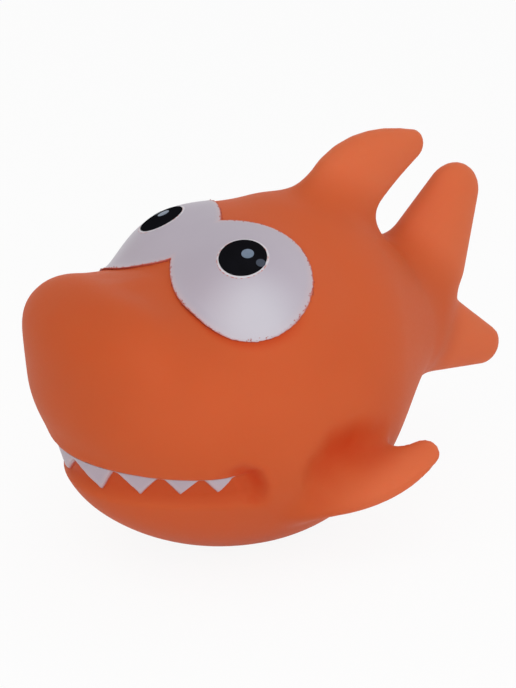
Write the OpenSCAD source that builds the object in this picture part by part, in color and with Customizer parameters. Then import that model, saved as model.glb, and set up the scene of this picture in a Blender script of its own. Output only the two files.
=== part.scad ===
// Squeaky dog toy shaped like a shark: a hollow soft vinyl skin cast in one piece with its fins, painted
// eyes and teeth, and a plastic squeaker held in a hole in the belly.
// Millimetres. The nose points to -X, the toy's left side is -Y, the belly flat lies on Z = 0 and X = 0 is
// the middle of the toy's length. The skin is a smooth blend of egg-shaped masses and tapered limbs. These
// are drawn in the toy's own level axes, then pitched nose up and set down on the belly flat.

/* [Stance and wall] */
// Pitch of the nose above level, in degrees
nose_up = 12.5; // [6:0.5:18]
// Place of the squeaker along the level axis, from the datum
seat_x = 2; // [-2:0.5:6]
// Depth sliced off the round belly for the rest flat
flat_cut = 3; // [2:0.25:4]
// Wall of the cast skin
wall = 2.6; // [1.8:0.1:4]
// Wall at the rest flat, which the squeaker clips on to
floor_wall = 4; // [3:0.25:6]

/* [Snout, muzzle and cheeks] */
// Snout centre, along
snout_x = -51.5; // [-56:0.5:-42]
// Snout centre, up
snout_z = 56; // [50:0.5:60]
// Snout half length
snout_l = 14; // [11:0.5:18]
// Snout half width
snout_w = 24.5; // [18:0.5:30]
// Snout half height
snout_h = 11.5; // [9:0.5:15]
// Muzzle centre, along
muzzle_x = -34; // [-40:0.5:-28]
// Muzzle centre, up
muzzle_z = 41; // [38:0.5:47]
// Muzzle half length
muzzle_l = 23.5; // [17:0.5:28]
// Muzzle half width
muzzle_w = 29; // [23:0.5:34]
// Muzzle half height
muzzle_h = 12; // [9:0.5:16]
// Cheeks centre, along
cheek_x = -14.5; // [-20:0.5:-8]
// Cheeks centre, up
cheek_z = 39; // [35:0.5:44]
// Cheeks half length
cheek_l = 32.5; // [27:0.5:38]
// Cheeks half width
cheek_w = 32.5; // [28:0.5:38]
// Cheeks half height
cheek_h = 23; // [18:0.5:28]
// Blend of the snout into the muzzle
blend_snout = 19; // [10:1:26]
// Blend of the face into the body
blend_face = 20; // [12:1:28]

/* [Eye domes and jaw] */
// Eye dome centre, along
dome_x = -16; // [-20:0.5:-11]
// Eye dome centre, out from the middle
dome_y = 9; // [4:0.5:12]
// Eye dome centre, up
dome_z = 60.5; // [57:0.5:64]
// Eye dome radius
dome_r = 23.5; // [20:0.5:26]
// Blend between the two domes
blend_domes = 6; // [3:0.5:10]
// Blend of the domes into the head
blend_brow = 4; // [2:0.5:6]
// Jaw centre, along
jaw_x = -22.5; // [-26:0.5:-19]
// Jaw centre, up
jaw_z = 24.5; // [22:0.5:27]
// Jaw half length
jaw_l = 29.5; // [26:0.5:33]
// Jaw half width
jaw_w = 21; // [17:0.5:25]
// Jaw half height
jaw_h = 17; // [15:0.5:20]
// Blend of the jaw into the head
blend_jaw = 8; // [4:0.5:12]

/* [Mouth] */
// Front of the lip line, along
lip_x = -55.5; // [-58:0.5:-53]
// Front of the lip line, up
lip_z = 27; // [26:0.5:28]
// Rise of the lip line toward its corner, in degrees
lip_rise = 13.5; // [10:0.5:19]
// Step in from the upper lip to the jaw
lip_step = 1.8; // [1:0.1:3]
// Height over which the lip's edge rolls in
lip_roll = 1.4; // [1:0.1:3]
// Height of the recessed band under the lip
mouth_h = 6; // [4:0.25:8]
// Height over which the band runs out into the chin
chin_run = 4.5; // [3:0.5:8]
// Corner of the mouth, along
corner_x = -26.5; // [-30:0.5:-23]
// Corner of the mouth, up
corner_z = 29.5; // [27:0.5:32]
// How far the corner leans back, for each millimetre down
corner_lean = 0.8; // [0.4:0.1:1.2]
// Length over which the mouth runs out at its corner
corner_run = 5; // [3.5:0.5:8]
// Cheek fold behind the mouth: top end, along
fold_x0 = -29.5; // [-31.5:0.5:-27.5]
// Cheek fold: top end, out
fold_y0 = 34.5; // [33:0.5:36]
// Cheek fold: top end, up
fold_z0 = 32; // [30:0.5:34]
// Cheek fold: lower end, along
fold_x1 = -25.5; // [-27.5:0.5:-23.5]
// Cheek fold: lower end, out
fold_y1 = 33; // [31:0.5:35]
// Cheek fold: lower end, up
fold_z1 = 26; // [24:0.5:28]
// Cheek fold: reach from its middle line
fold_r = 5; // [3.5:0.5:7]
// Cheek fold: depth
fold_d = 0.9; // [0.5:0.1:2]

/* [Belly and torso] */
// Belly centre, along
belly_x = -8; // [-13:0.5:-3]
// Belly centre, up
belly_z = 33; // [29:0.5:37]
// Belly half length
belly_l = 39; // [34:0.5:44]
// Belly half width
belly_w = 30; // [26:0.5:35]
// Belly half height
belly_h = 29.5; // [26:0.5:33]
// Blend of the belly into the cheeks
blend_belly = 22; // [14:1:30]
// Torso front centre, along
torso_x = 1; // [-3:0.5:5]
// Torso front centre, up
torso_z = 57.5; // [53:0.5:62]
// Torso front radius
torso_r = 32; // [29:0.5:35]
// Tail stem centre, along
stem_x = 37.5; // [33:0.5:43]
// Tail stem centre, up
stem_z = 56.5; // [52:0.5:61]
// Tail stem radius
stem_r = 14.5; // [11:0.5:18]
// How many times as high as wide the torso is
torso_flat = 1.1; // [1:0.05:1.4]
// Blend of the torso into the belly
blend_torso = 24; // [16:1:32]

/* [Dorsal fin] */
// Root, along
dorsal_x0 = 13; // [9:0.5:17]
// Root, up
dorsal_z0 = 82; // [78:0.5:86]
// Root radius
dorsal_r0 = 9.5; // [7:0.5:12]
// Bend, along
dorsal_x1 = 16; // [13:0.5:20]
// Bend, up
dorsal_z1 = 93; // [90:0.5:96]
// Bend radius
dorsal_r1 = 10.5; // [8:0.5:12]
// Tip, along
dorsal_x2 = 33; // [29:0.5:37]
// Tip, up
dorsal_z2 = 102; // [98:0.5:107]
// Tip radius
dorsal_r2 = 4; // [3.5:0.25:6]

/* [Tail fin] */
// Upper lobe root, along
tail_x0 = 44.5; // [40:0.5:49]
// Upper lobe root, up
tail_z0 = 70.5; // [67:0.5:75]
// Upper lobe root radius
tail_r0 = 13.5; // [11:0.5:16]
// Upper lobe tip, along
tail_x1 = 50.5; // [46:0.5:55]
// Upper lobe tip, up
tail_z1 = 89.5; // [85:0.5:94]
// Upper lobe tip radius
tail_r1 = 8; // [6:0.5:10]
// Lower lobe root, along
tail_x2 = 44.5; // [41:0.5:48]
// Lower lobe root, up
tail_z2 = 54.5; // [51:0.5:59]
// Lower lobe root radius
tail_r2 = 13; // [10:0.5:16]
// Lower lobe tip, along
tail_x3 = 72; // [66:0.5:76]
// Lower lobe tip, up
tail_z3 = 48.5; // [45:0.5:53]
// Lower lobe tip radius
tail_r3 = 5.25; // [4.5:0.25:8]
// Blend between the lobes
blend_lobes = 5; // [3:0.5:9]
// How many times as deep as thick the dorsal and tail fins are
fin_flat = 1.7; // [1.4:0.05:2]
// Blend of those fins into the body
blend_fin = 7; // [5:0.5:12]

/* [Side fins] */
// Root, along
side_x0 = -3.5; // [-7:0.5:0]
// Root, out
side_y0 = 27; // [24:0.5:30]
// Root, up
side_z0 = 28.5; // [26:0.5:31]
// Root radius
side_r0 = 12; // [9:0.5:14]
// Bend, along
side_x1 = 7.5; // [5:0.5:10]
// Bend, out
side_y1 = 37; // [34:0.5:40]
// Bend, up
side_z1 = 29.5; // [27:0.5:32]
// Bend radius
side_r1 = 7.5; // [6:0.25:9]
// Tip, along
side_x2 = 16; // [12:0.5:20]
// Tip, out
side_y2 = 42.5; // [40:0.5:48]
// Tip, up
side_z2 = 37.5; // [34:0.5:42]
// Tip radius
side_r2 = 3.75; // [3.5:0.25:5.5]
// How far the fin's chord leans inward from upright, in degrees
side_lean = 65; // [50:1:80]
// How many times as deep as thick the side fins are
side_flat = 1.8; // [1.5:0.05:2]
// Blend of the side fins into the body
blend_side = 5; // [3:0.5:9]

/* [Eye paint] */
// Eye white centre, along
eye_x = -26.5; // [-31:0.5:-24]
// Eye white centre, out
eye_y = 16.5; // [14:0.5:19]
// Eye white centre, up
eye_z = 74; // [71:0.5:77]
// Eye white radius
eye_r = 16.4; // [13:0.2:19]
// Bridge between the eyes, along
bridge_x = -29; // [-33:0.5:-27]
// Bridge between the eyes, up
bridge_z = 79; // [76:0.5:82]
// Half length of the bridge, front to back
bridge_r = 8.7; // [6:0.1:11]
// Pupil centre, along
pupil_x = -28; // [-31:0.5:-26]
// Pupil centre, out
pupil_y = 16; // [13:0.5:19]
// Pupil centre, up
pupil_z = 79.5; // [77:0.5:83]
// Pupil radius
pupil_r = 5.7; // [4:0.1:7]
// Large glint radius
glint_r = 1.45; // [0.8:0.05:1.8]
// Small glint radius
spark_r = 1.1; // [0.6:0.05:1.4]
// Large glint from the pupil's centre, along
glint_dx = 1; // [0:0.1:1.5]
// Large glint from the pupil's centre, out
glint_dy = 0.4; // [-0.5:0.1:1]
// Large glint from the pupil's centre, up
glint_dz = 0.8; // [0.2:0.1:1.4]
// Small glint from the pupil's centre, along
spark_dx = 2.2; // [1.7:0.1:2.7]
// Small glint from the pupil's centre, out
spark_dy = 4.1; // [3.6:0.1:4.6]
// Small glint from the pupil's centre, up
spark_dz = -0.3; // [-0.8:0.1:0.2]
// Thickness of each coat of paint
coat = 0.3; // [0.2:0.05:0.5]
// Clearance under each coat
coat_gap = 0.25; // [0.2:0.05:0.35]

/* [Tooth paint] */
// Middle of the mouth's arc, along
arc_x = -26; // [-30:0.5:-22]
// End of the first tooth from the middle, in degrees round the arc
tooth_a1 = 24.5; // [20:0.5:30]
// End of the second tooth
tooth_a2 = 47.5; // [41:0.5:52]
// End of the third tooth
tooth_a3 = 63.5; // [58:0.5:68]
// End of the fourth tooth
tooth_a4 = 76.5; // [72:0.5:80]
// Height of the first tooth
tooth_h1 = 5; // [4:0.1:7]
// Height of the fourth tooth
tooth_h4 = 3.4; // [2.5:0.1:5]
// Place of the first tooth's tip along its width, from the middle
tooth_lean1 = 0.6; // [0.5:0.05:0.7]
// Place of the fourth tooth's tip along its width
tooth_lean4 = 0.8; // [0.6:0.05:0.85]
// Height of the band that joins the teeth
tooth_band = 0.6; // [0.5:0.1:1.5]
// Distance of the band below the lip
tooth_drop = 2.4; // [2.2:0.1:3]

/* [Squeaker] */
// Hole in the belly
hole_d = 20; // [16:0.5:22]
// Clearance round the housing's neck and under its flanges
neck_gap = 0.1; // [0.05:0.05:0.3]
// How far the flanges reach past the hole
flange_reach = 1.8; // [1:0.1:2.2]
// Thickness of each flange
flange_t = 1.2; // [0.8:0.1:1.8]
// Depth of the outer flange inside the rest flat
flange_sink = 0.4; // [0.2:0.1:0.8]
// Outer diameter of the tube
tube_d = 12; // [11:0.5:14]
// Bore of the tube
bore_d = 9; // [8:0.25:9.5]
// Height of the tube's top above the rest flat
tube_top = 22; // [20:0.5:28]
// Thickness of the lip under the bore, which stops the block
stop_t = 1; // [0.8:0.1:1.5]
// Width of that lip
stop_w = 1; // [0.6:0.1:1.4]
// Clearance of the reed block in the bore
block_gap = 0.05; // [0.02:0.01:0.1]
// Height of the block's round foot
foot_h = 4; // [3:0.25:6]
// Height of the block above its foot
block_h = 12; // [10:0.5:14]
// Place of the block's flat past the middle of the bore
face_x = 0.4; // [0:0.1:1]
// Air channel in the block
channel_d = 3; // [2:0.25:3.5]
// Wall left between the channel and the block's round side
channel_wall = 1.2; // [0.8:0.1:1.6]
// Solid end left above and below the block's window
window_end = 2; // [1.5:0.25:3]
// Width of the reed tongue
reed_w = 5; // [4:0.25:5.5]
// Length of the reed tongue
reed_l = 10.5; // [9:0.25:12]
// Thickness of the reed tongue
reed_t = 0.3; // [0.2:0.05:0.5]
// Clearance between the tongue's root and the block's foot
root_gap = 0.2; // [0.1:0.05:0.3]
// Clearance between the tongue and the block's flat when shut
reed_gap = 0.06; // [0.03:0.01:0.15]
// Opening of the tongue at rest, in degrees
reed_open = 3; // [1:0.5:5]

/* [Facets] */
// Pitch of the skin's facets
cell = 3.5; // [3:0.1:4.5]
// Pitch of the skin's facets up the mouth
mouth_cell = 1.7; // [1.2:0.1:3]
// Straight lengths along each curved fin
fin_steps = 5; // [3:1:8]
// Pitch of the skin's facets across the tips of the fins and tail
tip_cell = 2.4; // [1.8:0.1:3.5]

/* [Hidden] */
lip_slope = tan(lip_rise);
dome_c = [dome_x, dome_y, dome_z];
side_root = [side_x0, side_y0, side_z0];
side_tip = [side_x2, side_y2, side_z2];
side_chord = [0, -sin(side_lean), cos(side_lean)];
side_n = unit(cross(side_tip - side_root, side_chord));
side_bend0 = [side_x1, side_y1, side_z1];
side_bend = side_bend0 - ((side_bend0 - side_root) * side_n) * side_n;
mid_n = [0, 1, 0];
// Share of a distance that one step of a search moves, and the number of steps of a long and a short search
pace = 0.75;
long_search = 40;
short_search = 16;
// Starts of the searches, well clear of the toy, and the heights that they look at
below = -60;
ahead = -120;
behind = 150;
scan = [for (z = [0 : 2.5 : 115]) z];

// Smooth shapes: each function is a distance to a surface, below zero inside
function unit(v) = v / norm(v);
function smin(a, b, k) =
    let (h = max(k - abs(a - b), 0) / k)
    min(a, b) - h * h * k / 4;
function ease(a, b, x) =
    let (t = min(max((x - a) / (b - a), 0), 1))
    t * t * (3 - 2 * t);
function egg(p, x, z, l, w, h) =
    let (u = [(p.x - x) / l, p.y / w, (p.z - z) / h])
    let (a = norm(u), b = norm([u.x / l, u.y / w, u.z / h]))
    b < 1e-9 ? -min(l, w, h) : a * (a - 1) / b;
function limb(p, a, b, ra, rb, flat, n) =
    let (q0 = p - a, q = q0 + ((flat - 1) * (q0 * n)) * n, ab = b - a, len = norm(ab))
    let (t = q * ab / len, d = sqrt(max(q * q - t * t, 0)), s = (rb - ra) / len)
    let (w = min(max((t + d * s / sqrt(1 - s * s)) / len, 0), 1), v = q - w * ab, m = max(norm(v), 1e-6))
    (m - ra - (rb - ra) * w) / sqrt(1 + (flat * flat - 1) * pow(v * n / m, 2));

// The head and body, without fins, on the side where y is positive
function body(p) =
    let (cheeks = egg(p, cheek_x, cheek_z, cheek_l, cheek_w, cheek_h))
    let (belly = egg(p, belly_x, belly_z, belly_l, belly_w, belly_h))
    let (torso = limb(p, [torso_x, 0, torso_z], [stem_x, 0, stem_z], torso_r, stem_r, torso_flat, mid_n))
    let (snout = egg(p, snout_x, snout_z, snout_l, snout_w, snout_h))
    let (muzzle = egg(p, muzzle_x, muzzle_z, muzzle_l, muzzle_w, muzzle_h))
    let (far_dome = [dome_x, -dome_y, dome_z])
    let (domes = smin(norm(p - dome_c), norm(p - far_dome), blend_domes) - dome_r)
    let (jaw = egg(p, jaw_x, jaw_z, jaw_l, jaw_w, jaw_h))
    let (trunk = smin(smin(cheeks, belly, blend_belly), torso, blend_torso))
    let (face = smin(trunk, smin(snout, muzzle, blend_snout), blend_face))
    smin(smin(face, domes, blend_brow), jaw, blend_jaw) + recess(p) + fold(p);
function lip_height(x) = lip_z + lip_slope * (x - lip_x);
function recess(p) =
    let (below = lip_height(p.x) - p.z)
    below < 0 ? 0 : lip_step * ease(0, lip_roll, below) * (1 - ease(mouth_h, mouth_h + chin_run, below))
        * (1 - ease(-corner_run / 2, corner_run / 2, p.x - corner_x + corner_lean * (p.z - corner_z)));
function fold(p) =
    let (a = [fold_x0, fold_y0, fold_z0], ab = [fold_x1, fold_y1, fold_z1] - a, q = p - a)
    fold_d * (1 - ease(0, fold_r, norm(q - min(max(q * ab / (ab * ab), 0), 1) * ab)));
// A fin that curves through three balls, each given as [x, y, z, radius]
function bend_ball(a, b, c, t) =
    (1 - t) * (1 - t) * a + 2 * t * (1 - t) * (2 * b - (a + c) / 2) + t * t * c;
function place(v) = [v[0], v[1], v[2]];
function curve(a, b, c) = [for (i = [0 : fin_steps]) bend_ball(a, b, c, i / fin_steps)];
function sweep(p, balls, flat, n) =
    min([for (i = [1 : fin_steps])
        limb(p, place(balls[i - 1]), place(balls[i]), balls[i - 1][3], balls[i][3], flat, n)]);
dorsal_balls = curve([dorsal_x0, 0, dorsal_z0, dorsal_r0], [dorsal_x1, 0, dorsal_z1, dorsal_r1],
                     [dorsal_x2, 0, dorsal_z2, dorsal_r2]);
side_balls = curve(concat(side_root, side_r0), concat(side_bend, side_r1), concat(side_tip, side_r2));
function dorsal(p) = sweep(p, dorsal_balls, fin_flat, mid_n);
function tail(p) =
    let (upper = limb(p, [tail_x0, 0, tail_z0], [tail_x1, 0, tail_z1], tail_r0, tail_r1, fin_flat, mid_n))
    let (lower = limb(p, [tail_x2, 0, tail_z2], [tail_x3, 0, tail_z3], tail_r2, tail_r3, fin_flat, mid_n))
    smin(upper, lower, blend_lobes);
function side_fin(p) = sweep(p, side_balls, side_flat, side_n);
function whole(p) =
    smin(smin(smin(body(p), dorsal(p), blend_fin), tail(p), blend_fin), side_fin(p), blend_side);

// Level axes to the standing pose and back
function pitch(p) = [p.x * cos(nose_up) + p.z * sin(nose_up), p.y, p.z * cos(nose_up) - p.x * sin(nose_up)];
function unpitch(p) = [p.x * cos(nose_up) - p.z * sin(nose_up), p.y, p.z * cos(nose_up) + p.x * sin(nose_up)];
function sink(z, x, n) = n == 0 ? z : sink(z + pace * body(unpitch([x, 0, z])), x, n - 1);
seat_px = pitch([seat_x, 0, belly_z - belly_h]).x;
seat_pz = sink(below, seat_px, long_search) + flat_cut;
function hit(x, z, way, n) =
    n == 0 ? x : hit(x + way * pace * whole(unpitch([x, 0, z])), z, way, n - 1);
nose_end = min([for (z = scan) hit(ahead, z, 1, long_search)]);
tail_end = max([for (z = scan) hit(behind, z, -1, long_search)]);
seat = [(nose_end + tail_end) / 2, 0, seat_pz];
squeak_x = seat_px - seat.x;
function stand(p) = pitch(p) - seat;
function level(p) = let (q = p + seat) unpitch([q.x, abs(q.y), q.z]);
function skin_at(p) = whole(level(p));
function body_at(p) = body(level(p));

// Extents of the standing toy, from the masses that reach furthest and room for their blends to swell
function reach_x(l, h) = norm([l * cos(nose_up), h * sin(nose_up)]);
swell = 8;
front = min(stand([snout_x, 0, snout_z]).x - reach_x(snout_l, snout_h), stand([jaw_x, 0, jaw_z]).x - jaw_l,
            stand([muzzle_x, 0, muzzle_z]).x - reach_x(muzzle_l, muzzle_h)) - swell;
back = max(stand([tail_x3, 0, tail_z3]).x + tail_r3, stand([tail_x1, 0, tail_z1]).x + tail_r1) + cell;
top = max(stand([dorsal_x2, 0, dorsal_z2]).z + dorsal_r2, stand([tail_x1, 0, tail_z1]).z + tail_r1,
          stand(dome_c).z + dome_r, stand([dorsal_x1, 0, dorsal_z1]).z + dorsal_r1) + cell;
bottom = -flat_cut - cell;
wide = max(side_y2 + side_r2, cheek_w + swell, muzzle_w + swell, belly_w + swell) + cell;
lip_lo = min(stand([lip_x, 0, lip_z]).z, stand([corner_x, 0, lip_height(corner_x)]).z) - mouth_h - tooth_drop;
lip_hi = max(stand([lip_x, 0, lip_z]).z, stand([corner_x, 0, lip_height(corner_x)]).z) + mouth_cell;
tips_x = stand([tail_x1, 0, tail_z1]).x;
tips_y = max(cheek_w, belly_w) + 2;
tips_z = min(stand(dome_c).z + dome_r, stand([tail_x1, 0, tail_z1]).z, stand([dorsal_x2, 0, dorsal_z2]).z);
function lines(a, b, s) = let (n = max(ceil((b - a) / s), 1)) [for (i = [0 : n - 1]) a + (b - a) * i / n];
function flat_list(v) = [for (a = v) for (b = a) b];

// A closed skin over the zero surface: one point in each grid cell that the surface crosses
function slope(p) =
    let (f = skin_at(p), e = 0.02)
    [skin_at(p + [e, 0, 0]) - f, skin_at(p + [0, e, 0]) - f, skin_at(p + [0, 0, e]) - f] / e;
least_slope = 0.2;
function settle(p, n) =
    n == 0 ? p : let (g = slope(p)) settle(p - skin_at(p) * g / max(g * g, least_slope), n - 1);
CORNERS = [[0, 0, 0], [1, 0, 0], [0, 1, 0], [1, 1, 0], [0, 0, 1], [1, 0, 1], [0, 1, 1], [1, 1, 1]];
EDGES = [[0, 1], [2, 3], [4, 5], [6, 7], [0, 2], [1, 3], [4, 6], [5, 7], [0, 4], [1, 5], [2, 6], [3, 7]];
function mean(v) = [for (i = [0 : len(v) - 1]) 1] * v / len(v);
function quad(a, b, c, d, out) =
    out ? [[c, b, a], [d, c, a]] : [[a, b, c], [a, c, d]];
// Fills a grid point that meets another outside point only across a corner, so that no sheets share an edge
just_in = -0.01;
function unpinch(v, s) =
    let (planes = [[s.x, s.y], [s.x, s.z], [s.y, s.z]])
    let (turns = [for (a = planes) for (m = [-1, 1]) for (n = [-1, 1]) [m * a.x, n * a.y]])
    [for (i = [0 : len(v) - 1])
        v[i] < 0 || v[i] > cell ? v[i] :
        let (pinches = [for (t = turns) if (v[i + t.x] < 0 && v[i + t.y] < 0 && v[i + t.x + t.y] >= 0) 1])
        len(pinches) > 0 ? just_in : v[i]];
function skin_mesh() =
    let (xs = concat(lines(front, tips_x, cell), lines(tips_x, back, tip_cell), [back]))
    let (ys = concat(lines(0, tips_y, cell), lines(tips_y, wide, tip_cell), [wide]))
    let (zs = concat(lines(bottom, lip_lo, cell), lines(lip_lo, lip_hi, mouth_cell),
                     lines(lip_hi, tips_z, cell), lines(tips_z, top, tip_cell), [top]))
    let (nx = len(xs), ny = len(ys), nz = len(zs))
    let (val = unpinch([for (x = xs) for (y = ys) for (z = zs) skin_at([x, y, z])], [ny * nz, nz, 1]))
    let (far = 2 * cell)
    let (cells = [for (i = [0 : nx - 2]) for (j = [0 : ny - 2]) for (k = [0 : nz - 2])
        let (o = (i * ny + j) * nz + k)
        abs(val[o]) > far ? false :
        let (s = val[o] < 0)
        (val[o + 1] < 0) != s || (val[o + nz] < 0) != s || (val[o + nz + 1] < 0) != s ||
        (val[o + ny * nz] < 0) != s || (val[o + ny * nz + 1] < 0) != s ||
        (val[o + ny * nz + nz] < 0) != s || (val[o + ny * nz + nz + 1] < 0) != s])
    let (my = ny - 1, mz = nz - 1)
    let (ids = [for (i = 0, n = 0; i < len(cells); n = n + (cells[i] ? 1 : 0), i = i + 1) n])
    let (half = [for (i = [0 : nx - 2]) for (j = [0 : my - 1]) for (k = [0 : mz - 1])
        if (cells[(i * my + j) * mz + k])
        let (c = [for (t = CORNERS) val[((i + t.x) * ny + j + t.y) * nz + k + t.z]])
        let (q = [for (t = CORNERS) [xs[i + t.x], ys[j + t.y], zs[k + t.z]]])
        let (hits = [for (e = EDGES) if ((c[e.x] < 0) != (c[e.y] < 0))
            q[e.x] + (q[e.y] - q[e.x]) * c[e.x] / (c[e.x] - c[e.y])])
        settle(mean(hits), 3)])
    let (n = len(half))
    let (tris = flat_list([for (i = [0 : nx - 2]) for (j = [0 : ny - 2]) for (k = [0 : nz - 2])
        let (o = (i * ny + j) * nz + k, s = val[o] < 0)
        let (sx = (val[o + ny * nz] < 0) != s, sy = (val[o + nz] < 0) != s, sz = (val[o + 1] < 0) != s)
        let (c00 = (i * my + j) * mz + k)
        concat(
            !sx ? [] : j == 0 ?
                quad(ids[c00 - 1] + n, ids[c00 - 1], ids[c00], ids[c00] + n, s) :
                let (a = ids[c00 - mz - 1], b = ids[c00 - 1], c = ids[c00], d = ids[c00 - mz])
                concat(quad(a, b, c, d, s), quad(a + n, b + n, c + n, d + n, !s)),
            !sy ? [] :
                let (a = ids[c00 - my * mz - 1], b = ids[c00 - my * mz], c = ids[c00], d = ids[c00 - 1])
                concat(quad(a, b, c, d, s), quad(a + n, b + n, c + n, d + n, !s)),
            !sz ? [] : j == 0 ?
                quad(ids[c00 - my * mz] + n, ids[c00] + n, ids[c00], ids[c00 - my * mz], s) :
                let (a = ids[c00 - my * mz - mz], b = ids[c00 - mz], c = ids[c00], d = ids[c00 - my * mz])
                concat(quad(a, b, c, d, s), quad(a + n, b + n, c + n, d + n, !s)))]))
    [concat(half, [for (p = half) [p.x, -p.y, p.z]]), tris];

// The hollow: rays from the middle of the body out to the inside of the wall
core = stand([(cheek_x + torso_x) / 2, 0, (cheek_z + torso_z) / 2]);
function bore_out(d, r, n) = n == 0 ? r : bore_out(d, r - pace * (wall + body_at(core + r * d)), n - 1);
function hollow_point(d) =
    let (p = core + bore_out(d, dome_r / 4, long_search) * d)
    [p.x, p.y, max(p.z, floor_wall)];
function hollow_mesh(turn, rise) =
    let (rings = [for (j = [1 : rise - 1]) for (i = [0 : turn - 1])
        let (a = 360 * i / turn, b = 180 * j / rise)
        hollow_point([sin(b) * cos(a), cos(b), sin(b) * sin(a)])])
    let (last = turn * (rise - 1))
    [concat(rings, [hollow_point([0, 1, 0]), hollow_point([0, -1, 0])]),
     concat([for (i = [0 : turn - 1]) [last, i, (i + 1) % turn]],
            [for (i = [0 : turn - 1]) [last + 1, last - turn + (i + 1) % turn, last - turn + i]],
            flat_list([for (j = [0 : rise - 3]) for (i = [0 : turn - 1])
                let (a = j * turn + i, b = j * turn + (i + 1) % turn)
                [[b + turn, b, a], [a + turn, b + turn, a]]]))];

// Coats of paint: thin closed patches that follow the skin, layer upon layer
function skin_level(p) = whole([p.x, abs(p.y), p.z]);
function ray_out(o, d, r, off, n) =
    n == 0 ? r : ray_out(o, d, r + pace * (off - skin_level(o + r * d)), off, n - 1);
function on_skin(o, d, off) = o + ray_out(o, d, dome_r, off, short_search) * d;
function under(layer) = layer * (coat + coat_gap) + coat_gap;
function over(layer) = (layer + 1) * (coat + coat_gap);
function fan_faces(spokes, rings, base, out) =
    let (tris = concat([for (i = [0 : spokes - 1]) [0, 1 + (i + 1) % spokes, 1 + i]],
        flat_list([for (k = [0 : rings - 2]) for (i = [0 : spokes - 1])
            let (a = 1 + k * spokes + i, b = 1 + k * spokes + (i + 1) % spokes)
            [[a, b, b + spokes], [a, b + spokes, a + spokes]]])))
    [for (t = tris) out ? [t.x, t.y, t.z] + [base, base, base] : [t.z, t.y, t.x] + [base, base, base]];
function rim_faces(spokes, rings, n) =
    flat_list([for (i = [0 : spokes - 1])
        let (a = 1 + (rings - 1) * spokes + i, b = 1 + (rings - 1) * spokes + (i + 1) % spokes)
        [[a, b, b + n], [a, b + n, a + n]]]);
// Rings crowd together toward a patch's edge, where it bends most
crowd = 1.4;
function spread(o, axis, e1, e2, alpha, rings, off) =
    let (spokes = len(alpha))
    concat([on_skin(o, axis, off)],
        [for (k = [1 : rings]) for (i = [0 : spokes - 1])
            let (a = alpha[i] * (1 - pow(1 - k / rings, crowd)), t = 360 * i / spokes)
            on_skin(o, cos(a) * axis + sin(a) * (cos(t) * e1 + sin(t) * e2), off)]);

module coat_patch(o, axis, alpha, rings, layer) {
    e1 = unit(cross(abs(axis.y) > 0.9 ? [1, 0, 0] : [0, 1, 0], axis));
    e2 = cross(axis, e1);
    top = spread(o, axis, e1, e2, alpha, rings, over(layer));
    low = spread(o, axis, e1, e2, alpha, rings, under(layer));
    spokes = len(alpha);
    n = len(top);
    polyhedron(points = [for (p = concat(top, low)) stand(p)],
               faces = concat(fan_faces(spokes, rings, 0, true), fan_faces(spokes, rings, n, false),
                              rim_faces(spokes, rings, n)), convexity = 4);
}

module dot(centre, radius, spokes, rings, layer, side) {
    o = [dome_c.x, side * dome_c.y, dome_c.z];
    c = [centre.x, side * centre.y, centre.z];
    coat_patch(o, unit(c - o), [for (i = [1 : spokes]) atan(radius / norm(c - o))], rings, layer);
}

// The white of both eyes: two rounds joined by a narrower bridge
function eye_zone(p) =
    limb([p.x, abs(p.y), p.z], [bridge_x, 0, bridge_z], [eye_x, eye_y, eye_z], bridge_r, eye_r, 1, mid_n);
function eye_edge(o, axis, side, lo, hi, n) =
    let (a = (lo + hi) / 2)
    n == 0 ? a : eye_zone(on_skin(o, cos(a) * axis + sin(a) * side, 0)) < 0 ?
        eye_edge(o, axis, side, a, hi, n - 1) : eye_edge(o, axis, side, lo, a, n - 1);

module eye_white() {
    o = [dome_x, 0, dome_z];
    axis = unit([bridge_x - dome_x, 0, bridge_z - dome_z]);
    e1 = unit(cross([0, 1, 0], axis));
    e2 = cross(axis, e1);
    spokes = 64;
    widest = 110;
    alpha = [for (i = [0 : spokes - 1])
        let (t = 360 * i / spokes)
        eye_edge(o, axis, cos(t) * e1 + sin(t) * e2, 0, widest, 9)];
    color("white") coat_patch(o, axis, alpha, rings = 8, layer = 0);
}

pupil_c = [pupil_x, pupil_y, pupil_z];

module pupil(side) {
    dot(pupil_c, pupil_r, spokes = 24, rings = 2, layer = 1, side = side);
}

module glints(side) {
    glint_c = pupil_c + [glint_dx, glint_dy, glint_dz];
    spark_c = pupil_c + [spark_dx, spark_dy, spark_dz];
    dot(glint_c, glint_r, spokes = 14, rings = 1, layer = 2, side = side);
    dot(spark_c, spark_r, spokes = 12, rings = 1, layer = 2, side = side);
}

module left_pupil() {
    color("black") pupil(-1);
}

module right_pupil() {
    color("black") pupil(1);
}

module left_glints() {
    color("lightsteelblue") glints(-1);
}

module right_glints() {
    color("lightsteelblue") glints(1);
}

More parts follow.
